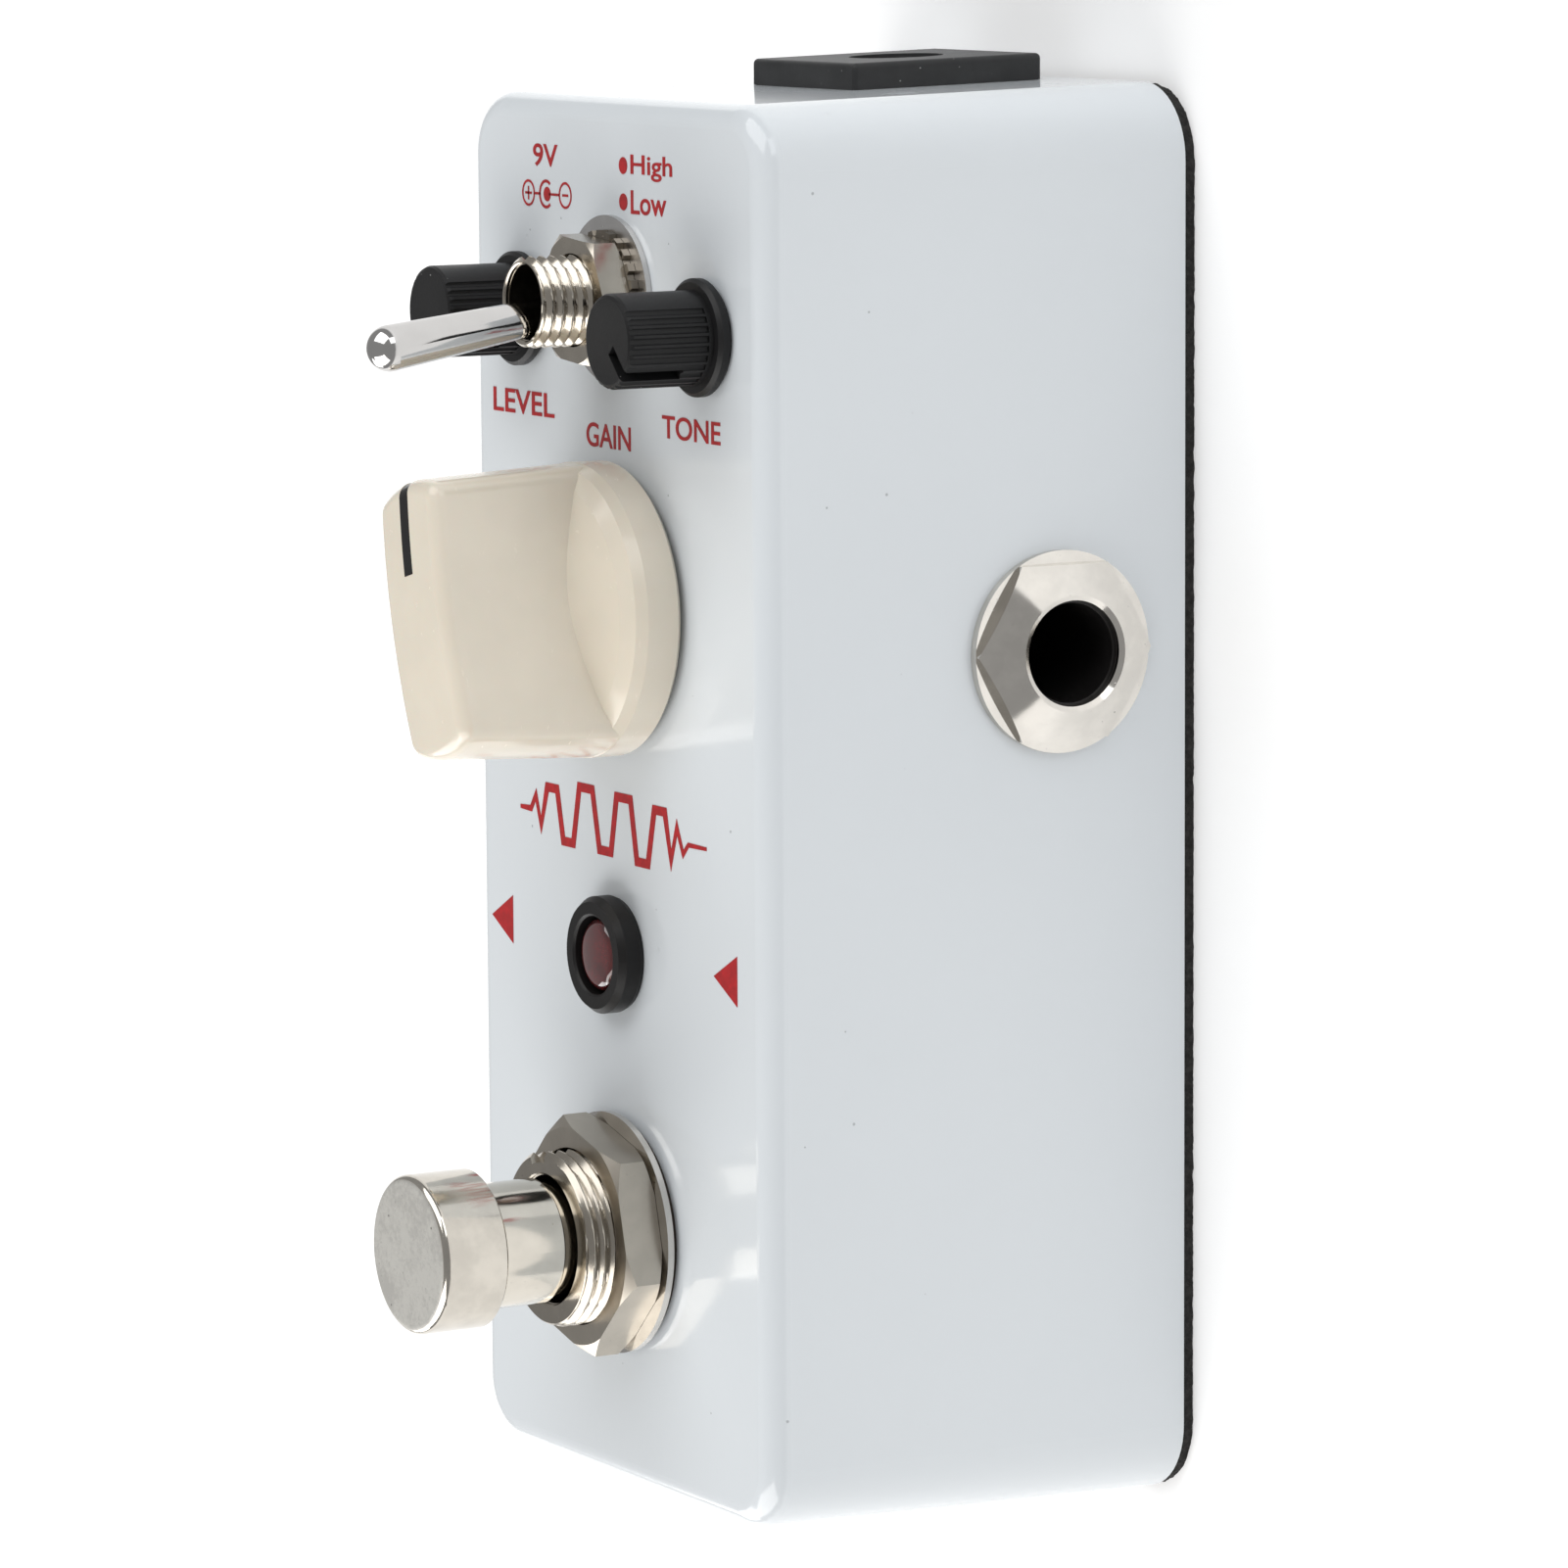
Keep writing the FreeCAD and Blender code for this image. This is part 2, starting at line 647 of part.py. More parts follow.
def make_jack(s, prefix, along, side):
    """One quarter-inch socket, drawn about its own axis with zero at the wall's outer surface."""
    slope = s.draft_inset / (s.face_height - s.pad_thickness)
    wall_face = s.body_width / 2 - slope * (s.jack_height - s.pad_thickness)

    def fit_in_wall(item):
        base = FreeCAD.Rotation(FreeCAD.Vector(0, 1, 0), 90)
        if side < 0:
            base = FreeCAD.Rotation(FreeCAD.Vector(0, 0, 1), 180) * base
        item.Placement = FreeCAD.Placement(FreeCAD.Vector(), base)
        place(item, wall_face * side, along, s.jack_height)

    nut = new_body(prefix + "_nut")
    corner = s.jack_hex_flats / (2.0 * math.cos(math.pi / 6.0))
    rim = s.jack_flange_thickness
    Drawing(nut, "XZ").polygon([
        (s.jack_bushing_radius + 0.06, -0.4), (s.jack_flange_radius, -0.4), (s.jack_flange_radius, rim),
        (corner, rim), (corner, rim + 0.3), (s.jack_mouth_radius + 0.35, s.jack_front),
        (s.jack_mouth_radius, s.jack_front - 0.2), (s.jack_mouth_radius, s.jack_front - 0.65),
        (s.jack_bushing_radius + 0.06, s.jack_front - 0.65)]).spin()
    trim = Drawing(nut, "XY", rim)
    trim.hexagon(0.0, 0.0, s.jack_hex_flats, 0.0)
    trim.circle(0.0, 0.0, s.jack_flange_radius + 1.0)
    trim.remove(s.jack_front)
    reach = 8.0
    seat = Drawing(nut, "XZ", -reach)
    seat.polygon([(-reach, -1.0), (reach, -1.0), (reach, s.seat_gap + slope * reach),
                  (-reach, s.seat_gap - slope * reach)])
    seat.remove(2 * reach)
    fit_in_wall(nut)
    keep(nut, prefix + "_nut")

    bushing = new_body(prefix + "_bushing")
    bore = s.jack_bore_radius
    tube = s.jack_bushing_radius
    Drawing(bushing, "XZ").polygon([
        (bore, -9.0), (tube, -9.0), (tube, s.jack_inner_seat - 1.2),
        (s.jack_collar_radius, s.jack_inner_seat - 1.2), (s.jack_collar_radius, s.jack_inner_seat),
        (tube, s.jack_inner_seat), (tube, s.jack_front - 1.0), (tube - 0.3, s.jack_front - 0.7),
        (bore, s.jack_front - 0.7)]).spin()
    fit_in_wall(bushing)
    keep(bushing, prefix + "_bushing")

    body = new_body(prefix + "_body")
    half = s.jack_body_half
    outline = Drawing(body, "XY", s.jack_body_back)
    outline.rectangle((-half, -half), (half, half))
    outline.add(s.jack_body_front - s.jack_body_back)
    bore_cut = Drawing(body, "XY", s.jack_body_back + 1.2)
    bore_cut.circle(0.0, 0.0, s.jack_body_bore)
    bore_cut.remove(s.jack_body_front - s.jack_body_back)
    mouth = Drawing(body, "XY", -9.1)
    mouth.circle(0.0, 0.0, tube + 0.05)
    mouth.remove(s.jack_body_front + 9.5)
    channel = Drawing(body, "XY", s.jack_body_back + 1.6)
    channel.rectangle((-4.6, -1.5), (-2.6, 1.5))
    channel.remove(12.5)
    exit_slot = Drawing(body, "XY", s.jack_body_back + 1.6)
    exit_slot.rectangle((-half - 0.5, -1.0), (-4.2, 1.0))
    exit_slot.remove(1.0)
    fit_in_wall(body)
    keep(body, prefix + "_body")

    spring = new_body(prefix + "_tip_spring")
    leaf = Drawing(spring, "XZ", -0.8)
    heel = s.jack_body_back + 1.9
    leaf.polygon([(-7.2, heel), (-7.2, heel + 0.4), (-4.15, heel + 0.4), (-4.15, heel + 10.5),
                  (-3.85, heel + 10.5), (-3.85, heel)])
    leaf.add(1.6)
    fit_in_wall(spring)
    keep(spring, prefix + "_tip_spring")

    lug = new_body(prefix + "_sleeve_lug")
    low = s.jack_inner_seat - 1.55
    Drawing(lug, "XZ").polygon([
        (tube + 0.05, low), (s.jack_collar_radius, low), (s.jack_collar_radius, low + 0.3),
        (tube + 0.05, low + 0.3)]).spin()
    tail = Drawing(lug, "XY", low)
    tail.rectangle((-7.2, -0.8), (-5.2, 0.8))
    tail.add(0.3)
    fit_in_wall(lug)
    keep(lug, prefix + "_sleeve_lug")


def make_board(s):
    top = s.board_under + s.board_thickness
    board = new_body("main_board")
    outline = Drawing(board, "XY", s.board_under)
    outline.polygon([
        (-s.board_half_width, s.board_end_low), (s.board_half_width, s.board_end_low),
        (s.board_half_width, s.board_end_high), (s.board_slot_half, s.board_end_high),
        (s.board_slot_half, s.board_slot_start), (-s.board_slot_half, s.board_slot_start),
        (-s.board_slot_half, s.board_end_high), (-s.board_half_width, s.board_end_high)])
    outline.add(s.board_thickness)
    keep(board, "main_board")

    lift = top + s.seat_gap
    places = [(-13.0, 15.5), (13.0, 15.5), (-13.0, 2.5), (13.0, 2.5), (-12.5, -13.5), (12.5, -13.5)]
    cans = [cylinder("capacitor_can", 2.5, lift, lift + 7.0, x, y) for x, y in places]
    keep(group("electrolytic_capacitors", cans), "electrolytic_capacitors")
    places = [(-12.5, 9.0), (12.5, 9.0), (-12.5, -4.5), (12.5, -4.5)]
    slabs = [box("capacitor_slab", (x - 3.4, y - 1.25, lift), (x + 3.4, y + 1.25, lift + 5.5))
             for x, y in places]
    keep(group("film_capacitors", slabs), "film_capacitors")

    chips = []
    legs = []
    for x, y in ((-4.2, -2.0), (4.2, -2.0)):
        chips.append(box("chip", (x - 2.45, y - 1.95, lift + 0.15), (x + 2.45, y + 1.95, lift + 1.6)))
        for step in range(4):
            foot = x - 1.905 + 1.27 * step
            for side in (-1, 1):
                near = y + side * 1.99
                far = y + side * 3.0
                legs.append(box("leg", (foot - 0.2, min(near, far), lift),
                                (foot + 0.2, max(near, far), lift + 0.6)))
    keep(group("amplifier_chips", chips), "amplifier_chips")
    keep(group("chip_leads", legs), "chip_leads")

    chips = []
    for x, y in ((-8.0, 24.0), (-4.0, 24.0), (0.0, 23.5), (4.0, 24.0), (8.0, 24.0), (-15.0, 20.5),
                 (15.0, 20.5), (-8.0, -16.5), (-4.0, -16.5), (4.0, -16.5), (8.0, -16.5),
                 (-6.0, -8.0), (6.0, -8.0)):
        chips.append(box("resistor", (x - 1.0, y - 0.62, lift), (x + 1.0, y + 0.62, lift + 0.5)))
    keep(group("resistors", chips), "resistors")


def make_lamp(s):
    bezel = new_body("led_bezel")
    seat = s.face_height + s.seat_gap
    front = s.lamp_bezel_front
    Drawing(bezel, "XZ").polygon([
        (s.lamp_opening_radius, s.lamp_barrel_low), (s.lamp_barrel_radius, s.lamp_barrel_low),
        (s.lamp_barrel_radius, seat), (s.lamp_bezel_radius - 0.15, seat),
        (s.lamp_bezel_radius, seat + 0.35), (s.lamp_bezel_radius, front - 0.45),
        (s.lamp_bezel_radius - 0.35, front), (s.lamp_opening_radius + 0.15, front),
        (s.lamp_opening_radius, front - 0.15)]).spin()
    place(bezel, s.lamp_across, s.lamp_along)
    keep(bezel, "led_bezel")

    lens = new_body("led_lens")
    barrel = Drawing(lens, "XY", s.lamp_low)
    barrel.circle(0.0, 0.0, s.lamp_radius)
    drum = barrel.add(s.lamp_top - s.lamp_low)
    dress(lens, drum, "Fillet", s.lamp_radius - 0.02, lambda e: at_height(e, s.lamp_top))
    place(lens, s.lamp_across, s.lamp_along)
    keep(lens, "led_lens")

    board_top = s.board_under + s.board_thickness + s.seat_gap
    wires = []
    for side in (-1, 1):
        wires.append(box("led_lead", (s.lamp_across + 1.27 * side - 0.25, s.lamp_along - 0.25, board_top),
                         (s.lamp_across + 1.27 * side + 0.25, s.lamp_along + 0.25, s.lamp_low - 0.02)))
    keep(group("led_leads", wires), "led_leads")


def make_dist_control(s):
    can = new_body("dist_pot_can")
    skin = 0.6
    Drawing(can, "XZ").polygon([
        (0.0, s.dist_can_low), (s.dist_can_radius, s.dist_can_low), (s.dist_can_radius, s.dist_can_high),
        (s.dist_shaft_radius + 0.2, s.dist_can_high), (s.dist_shaft_radius + 0.2, s.dist_can_high - skin),
        (s.dist_can_radius - skin, s.dist_can_high - skin),
        (s.dist_can_radius - skin, s.dist_can_low + skin), (0.0, s.dist_can_low + skin)]).spin()
    place(can, 0.0, s.dist_along)
    keep(can, "dist_pot_can")

    under = s.face_height - s.face_thickness
    bushing = new_body("dist_pot_bushing")
    bore = s.dist_shaft_radius + s.running_gap
    tube = s.dist_bushing_radius
    Drawing(bushing, "XZ").polygon([
        (bore, s.dist_can_high + 0.05), (7.2, s.dist_can_high + 0.05), (7.2, under - 0.1),
        (tube, under - 0.1), (tube, s.dist_bushing_top - 0.3), (tube - 0.3, s.dist_bushing_top),
        (bore, s.dist_bushing_top)]).spin()
    place(bushing, 0.0, s.dist_along)
    keep(bushing, "dist_pot_bushing")

    low = s.face_height + s.seat_gap
    nut = hex_nut("dist_pot_nut", s.dist_nut_flats, tube + 0.05, low, low + 1.9, 20.0, 0.5)
    place(nut, 0.0, s.dist_along)
    keep(nut, "dist_pot_nut")

    board_top = s.board_under + s.board_thickness + s.seat_gap
    pins = [box("dist_pin", (5.0 * step - 0.5, s.dist_along - 7.4, board_top),
                (5.0 * step + 0.5, s.dist_along - 7.0, s.dist_can_low - 0.05))
            for step in (-0.6, 0.0, 0.6)]
    keep(group("dist_pot_pins", pins), "dist_pot_pins")

    shaft = new_body("dist_shaft")
    disc = s.dist_can_low + 1.6
    Drawing(shaft, "XZ").polygon([
        (0.0, disc - 0.6), (6.4, disc - 0.6), (6.4, disc + 0.8), (s.dist_shaft_radius, disc + 0.8),
        (s.dist_shaft_radius, s.dist_shaft_top - 0.4), (s.dist_shaft_radius - 0.4, s.dist_shaft_top),
        (0.0, s.dist_shaft_top)]).spin()
    place(shaft, 0.0, s.dist_along)
    keep(shaft, "dist_shaft")


def bar_outline(drawing, half, radius, corner):
    """The grip's outline: two flat sides and two arcs about the knob's axis, with rounded corners."""
    sketch = drawing.sketch
    h = number(half)
    r = number(radius)
    c = number(corner)
    rise = math.sqrt((r - c) ** 2 - (h - c) ** 2)
    lean = math.atan2(rise, h - c)
    origin = FreeCAD.Vector(0, 0, 0)
    up = FreeCAD.Vector(0, 0, 1)

    def arc(x, y, size, start, end):
        circle = Part.Circle(FreeCAD.Vector(x, y, 0), up, size)
        return sketch.addGeometry(Part.ArcOfCircle(circle, start, end), False)

    def line(x, start, end):
        return sketch.addGeometry(Part.LineSegment(origin + FreeCAD.Vector(x, start, 0),
                                                   origin + FreeCAD.Vector(x, end, 0)), False)

    run = [line(h, -rise, rise), arc(h - c, rise, c, 0.0, lean), arc(0, 0, r, lean, math.pi - lean),
           arc(c - h, rise, c, math.pi - lean, math.pi), line(-h, rise, -rise),
           arc(c - h, -rise, c, math.pi, math.pi + lean),
           arc(0, 0, r, math.pi + lean, 2 * math.pi - lean), arc(h - c, -rise, c, -lean, 0.0)]
    for index in range(len(run)):
        follower = run[(index + 1) % len(run)]
        sketch.addConstraint(Sketcher.Constraint("Tangent", run[index], 2, follower, 1))
    for item in (run[2], run[6]):
        sketch.addConstraint(Sketcher.Constraint("Coincident", item, 3, -1, 1))
        limit = sketch.addConstraint(Sketcher.Constraint("Radius", item, r))
        bind(sketch, "Constraints[%d]" % limit, radius)
    for item in (run[1], run[3], run[5], run[7]):
        limit = sketch.addConstraint(Sketcher.Constraint("Radius", item, c))
        bind(sketch, "Constraints[%d]" % limit, corner)
    for item, ends in ((run[0], (-1, 1, run[0], 1)), (run[4], (run[4], 1, -1, 1))):
        sketch.addConstraint(Sketcher.Constraint("Vertical", item))
        limit = sketch.addConstraint(Sketcher.Constraint("DistanceX", *ends, h))
        bind(sketch, "Constraints[%d]" % limit, half)


def crown_cut(body, s, lift):
    """Groove away everything above a shallow domed top."""
    drawing = Drawing(body, "XZ")
    sketch = drawing.sketch
    edge = number(s.knob_top_radius)
    sag = number(s.knob_crown)
    top = number(s.knob_top) + lift
    radius = (edge * edge + sag * sag) / (2.0 * sag)
    reach = 13.0
    drop = radius - math.sqrt(radius * radius - reach * reach)
    high = top + 6.0
    crown = Part.Arc(FreeCAD.Vector(0, top, 0),
                     FreeCAD.Vector(reach / 2, top - radius + math.sqrt(radius ** 2 - reach ** 2 / 4), 0),
                     FreeCAD.Vector(reach, top - drop, 0))
    points = [FreeCAD.Vector(reach, top - drop, 0), FreeCAD.Vector(reach, high, 0),
              FreeCAD.Vector(0, high, 0), FreeCAD.Vector(0, top, 0)]
    sketch.addGeometry(crown, False)
    for here, there in zip(points, points[1:]):
        sketch.addGeometry(Part.LineSegment(here, there), False)
    for index in range(len(sketch.Geometry)):
        sketch.addConstraint(Sketcher.Constraint("Block", index))
    return drawing.hollow()


def make_dist_knob(s):
    knob = new_body("dist_knob")
    Drawing(knob, "XZ").polygon([
        (0.0, s.knob_base), (s.knob_radius - 0.3, s.knob_base), (s.knob_radius, s.knob_base + 0.3),
        (s.knob_radius, s.knob_wall_top), (s.knob_radius - 0.35, s.knob_wall_top + 0.75),
        (s.knob_shoulder_radius, s.knob_shoulder_top), (s.knob_cone_radius, s.knob_cone_top),
        (0.0, s.knob_cone_top)]).spin()
    low = Drawing(knob, "XY", s.knob_wall_top - 0.5)
    bar_outline(low, s.knob_bar_half_low, s.knob_radius - 0.02, s.knob_corner)
    high = Drawing(knob, "XY", s.knob_top + 0.6)
    bar_outline(high, s.knob_bar_half_high, s.knob_top_radius - 0.03, s.knob_corner)
    loft = knob.newObject("PartDesign::AdditiveLoft", "dist_knob_bar")
    loft.Profile = low.sketch
    loft.Sections = [high.sketch]
    loft.Ruled = True
    crown = crown_cut(knob, s, 0.0)
    rounded = dress(knob, crown, "Fillet", s.knob_edge_round,
                    lambda e: e.BoundBox.ZMin > number(s.knob_top) - 1.5)
    well = Drawing(knob, "XZ")
    shaft = s.dist_shaft_radius + s.running_gap
    well.polygon([
        (0.0, s.knob_base - 1.0), (8.2, s.knob_base - 1.0), (8.2, 34.9), (3.75, 34.9),
        (3.75, s.dist_bushing_top + 0.3), (shaft, s.dist_bushing_top + 0.3),
        (shaft, s.dist_shaft_top + 0.2), (0.0, s.dist_shaft_top + 0.2)])
    well.hollow()
    inlay = Drawing(knob, "XY", s.knob_top - s.knob_crown - s.mark_depth)
    side = s.mark_half_width + 0.02
    inlay.rectangle((-side, s.mark_start - 0.02), (side, s.knob_radius + 1.0))
    inlay.remove(s.knob_crown + s.mark_depth + 1.0)
    turn(knob, (0, 0, 1), s.knob_angle)
    place(knob, 0.0, s.dist_along)
    keep(knob, "dist_knob")

    mark = new_body("dist_knob_mark")
    foot = s.knob_top - s.knob_crown - s.mark_depth + 0.02
    outline = Drawing(mark, "XY", foot)
    outline.rectangle((-s.mark_half_width, s.mark_start), (s.mark_half_width, s.knob_top_radius - 0.02))
    outline.add(s.knob_crown + s.mark_depth + 1.0)
    crown = crown_cut(mark, s, 0.03)
    end = number(s.knob_top_radius) - 0.02
    dress(mark, crown, "Fillet", s.knob_edge_round,
          lambda e: abs(e.CenterOfMass.y - end) < 0.02 and e.CenterOfMass.z > number(foot) + 1.0
          and e.BoundBox.XMax - e.BoundBox.XMin > 0.5)
    turn(mark, (0, 0, 1), s.knob_angle)
    place(mark, 0.0, s.dist_along)
    keep(mark, "dist_knob_mark")


def make_small_control(s, prefix, side, along):
    across = s.small_across * side
    housing = new_body(prefix + "_pot_housing")
    base = Drawing(housing, "XY", s.small_pot_low)
    half_w = s.small_pot_half_width
    half_l = s.small_pot_half_length
    base.rectangle((-half_w, -half_l), (half_w, half_l))
    base.add(s.small_pot_high - s.small_pot_low)
    neck = Drawing(housing, "XY", s.small_pot_high - 0.1)
    neck.circle(0.0, 0.0, s.small_hole_radius - 0.2)
    neck.add(s.face_height - s.small_pot_high - 0.3)
    well = Drawing(housing, "XZ")
    chamber = s.small_pot_low + 1.0
    shaft_hole = s.small_shaft_radius + s.running_gap
    well.polygon([(0.0, chamber), (3.6, chamber), (3.6, chamber + 2.0), (shaft_hole, chamber + 2.0),
                  (shaft_hole, s.face_height + 1.0), (0.0, s.face_height + 1.0)])
    well.hollow()
    place(housing, across, along)
    keep(housing, prefix + "_pot_housing")

    board_top = s.board_under + s.board_thickness + s.seat_gap
    pins = [box(prefix + "_pin", (across + 2.5 * step - 0.4, along - 5.0, board_top),
                (across + 2.5 * step + 0.4, along - 4.6, s.small_pot_low - 0.02))
            for step in (-1, 0, 1)]
    keep(group(prefix + "_pot_pins", pins), prefix + "_pot_pins")

    shaft = new_body(prefix + "_shaft")
    low = chamber + 0.4
    Drawing(shaft, "XZ").polygon([
        (0.0, low), (3.3, low), (3.3, low + 1.0), (s.small_shaft_radius, low + 1.0),
        (s.small_shaft_radius, s.small_shaft_top), (0.0, s.small_shaft_top)]).spin()
    place(shaft, across, along)
    keep(shaft, prefix + "_shaft")

    knob = new_body(prefix + "_knob")
    rim = s.small_knob_radius
    top = s.small_knob_top
    Drawing(knob, "XZ").polygon([
        (s.small_bore_radius, s.small_flange_under), (s.small_flange_radius - 0.15, s.small_flange_under),
        (s.small_flange_radius, s.small_flange_under + 0.15),
        (s.small_flange_radius, s.small_flange_top - 0.25),
        (s.small_flange_radius - 0.25, s.small_flange_top), (rim, s.small_flange_top),
        (rim, top - 0.3), (rim - 0.1, top - 0.1), (rim - 0.3, top), (0.0, top),
        (0.0, s.small_shaft_top + 0.1), (s.small_bore_radius, s.small_shaft_top + 0.1)]).spin()
    flute = Drawing(knob, "XY", s.small_flange_top + 0.35)
    flute.circle(0.0, -rim - 0.06, 0.24)
    first = flute.remove(top - s.small_flange_top + 1.0)
    count = 23
    pattern = knob.newObject("PartDesign::PolarPattern", prefix + "_knob_flutes")
    pattern.Originals = [first]
    pattern.Axis = (flute.sketch, ["N_Axis"])
    pattern.Angle = 264.0
    pattern.Occurrences = count
    knob.Tip = pattern
    doc.recompute()
    groove = Drawing(knob, "XY", top - 0.55)
    groove.rectangle((-0.42, 0.7), (0.42, rim + 1.0))
    groove.remove(2.0)
    channel = Drawing(knob, "XY", top - 4.2)
    channel.rectangle((-0.42, rim - 0.75), (0.42, rim + 1.0))
    channel.remove(6.0)
    turn(knob, (0, 0, 1), s.small_angle)
    place(knob, across, along)
    keep(knob, prefix + "_knob")


def make_foot_switch(s):
    under = s.face_height - s.face_thickness
    pad_low = s.face_height + s.seat_gap
    pad = ring("footswitch_insulator", s.foot_bushing_radius + 0.1, s.foot_insulator_radius, pad_low,
               pad_low + s.foot_insulator_thickness)
    place(pad, 0.0, s.foot_along)
    keep(pad, "footswitch_insulator")
    washer_low = pad_low + s.foot_insulator_thickness + s.seat_gap
    washer_top = washer_low + s.foot_washer_thickness
    washer = ring("footswitch_washer", s.foot_bushing_radius + 0.1, s.foot_washer_radius, washer_low,
                  washer_top)
    place(washer, 0.0, s.foot_along)
    keep(washer, "footswitch_washer")
    nut_low = washer_top + s.seat_gap
    nut = hex_nut("footswitch_nut", s.foot_nut_flats, s.foot_bushing_radius + 0.05, nut_low,
                  nut_low + s.foot_nut_thickness, 44.7, 0.85)
    place(nut, 0.0, s.foot_along)
    keep(nut, "footswitch_nut")
    inner = hex_nut("footswitch_inner_nut", s.foot_nut_flats, s.foot_bushing_radius + 0.05,
                    under - 2.3, under - 0.05, 10.0, 0.6)
    place(inner, 0.0, s.foot_along)
    keep(inner, "footswitch_inner_nut")

    bushing = new_body("footswitch_bushing")
    half = s.foot_case_half
    cover = Drawing(bushing, "XY", s.foot_case_high + 0.05)
    cover.rectangle((-half, -half), (half, half))
    cover.add(0.8)
    tube = Drawing(bushing, "XZ")
    outer = s.foot_bushing_radius
    top = s.foot_bushing_top
    tube.polygon([(0.0, s.foot_case_high + 0.05), (outer, s.foot_case_high + 0.05), (outer, top - 0.3),
                  (outer - 0.25, top), (0.0, top)])
    tube.spin()
    bore = Drawing(bushing, "XZ")
    bore.polygon([(0.0, s.foot_case_high - 1.0), (s.foot_bore_radius, s.foot_case_high - 1.0),
                  (s.foot_bore_radius, top + 1.0), (0.0, top + 1.0)])
    bore.hollow()
    key = Drawing(bushing, "XY", s.face_height - 1.0)
    key.rectangle((-0.9, outer - 0.7), (0.9, outer + 1.0))
    key.remove(7.0)
    turn(bushing, (0, 0, 1), 12.0)
    place(bushing, 0.0, s.foot_along)
    keep(bushing, "footswitch_bushing")

    case = new_body("footswitch_case")
    block = Drawing(case, "XY", s.foot_case_low)
    block.rectangle((-half, -half), (half, half))
    block.add(s.foot_case_high - s.foot_case_low)
    well = Drawing(case, "XY", s.foot_well_floor)
    well.circle(0.0, 0.0, s.foot_well_radius)
    well.remove(s.foot_case_high)
    turn(case, (0, 0, 1), 12.0)
    place(case, 0.0, s.foot_along)
    keep(case, "footswitch_case")

    lugs = []
    for row in (-1, 0, 1):
        for column in (-1, 0, 1):
            lugs.append(box("foot_lug", (4.8 * column - 0.9, 4.8 * row - 0.3, s.foot_case_low - 4.2),
                            (4.8 * column + 0.9, 4.8 * row + 0.3, s.foot_case_low - 0.02)))
    lug_group = group("footswitch_lugs", lugs)
    turn(lug_group, (0, 0, 1), 12.0)
    place(lug_group, 0.0, s.foot_along)
    keep(lug_group, "footswitch_lugs")

    stem = new_body("footswitch_stem")
    Drawing(stem, "XZ").polygon([
        (0.0, s.foot_collar_low), (s.foot_collar_radius, s.foot_collar_low),
        (s.foot_collar_radius, s.foot_case_high), (s.foot_stem_neck, s.foot_case_high),
        (s.foot_stem_neck, s.foot_stem_shoulder), (s.foot_stem_radius - 0.12, s.foot_stem_shoulder),
        (s.foot_stem_radius, s.foot_stem_shoulder + 0.12), (s.foot_stem_radius, s.foot_stem_top), (s.foot_spigot_radius, s.foot_stem_top),
        (s.foot_spigot_radius, s.foot_stem_top + 2.4), (0.0, s.foot_stem_top + 2.4)]).spin()
    place(stem, 0.0, s.foot_along)
    keep(stem, "footswitch_stem")

    cap = new_body("footswitch_cap")
    drum = Drawing(cap, "XY", s.foot_cap_low)
    drum.circle(0.0, 0.0, s.foot_cap_radius)
    solid = drum.add(s.foot_cap_top - s.foot_cap_low)
    front = dress(cap, solid, "Fillet", 0.55, lambda e: at_height(e, s.foot_cap_top))
    dress(cap, front, "Chamfer", 0.15, lambda e: at_height(e, s.foot_cap_low))
    socket = Drawing(cap, "XY", s.foot_cap_low - 1.0)
    socket.circle(0.0, 0.0, s.foot_spigot_radius + 0.03)
    socket.remove(1.0 + 2.45)
    place(cap, 0.0, s.foot_along)
    keep(cap, "footswitch_cap")

    spring = doc.addObject("Part::Feature", "footswitch_spring")
    wire = number(s.foot_spring_wire)
    low = number(s.foot_well_floor) + wire + 0.05
    high = number(s.foot_collar_low) - wire - 0.05
    coil = number(s.foot_spring_radius)
    helix = Part.makeHelix((high - low) / number(s.foot_spring_turns), high - low, coil)
    circle = Part.Wire([Part.makeCircle(wire, FreeCAD.Vector(coil, 0, 0), FreeCAD.Vector(0, 1, 0.3))])
    spring.Shape = Part.Wire(helix).makePipeShell([circle], True, True)
    spring.Placement = FreeCAD.Placement(FreeCAD.Vector(0, number(s.foot_along), low),
                                         FreeCAD.Rotation())
    keep(spring, "footswitch_spring")


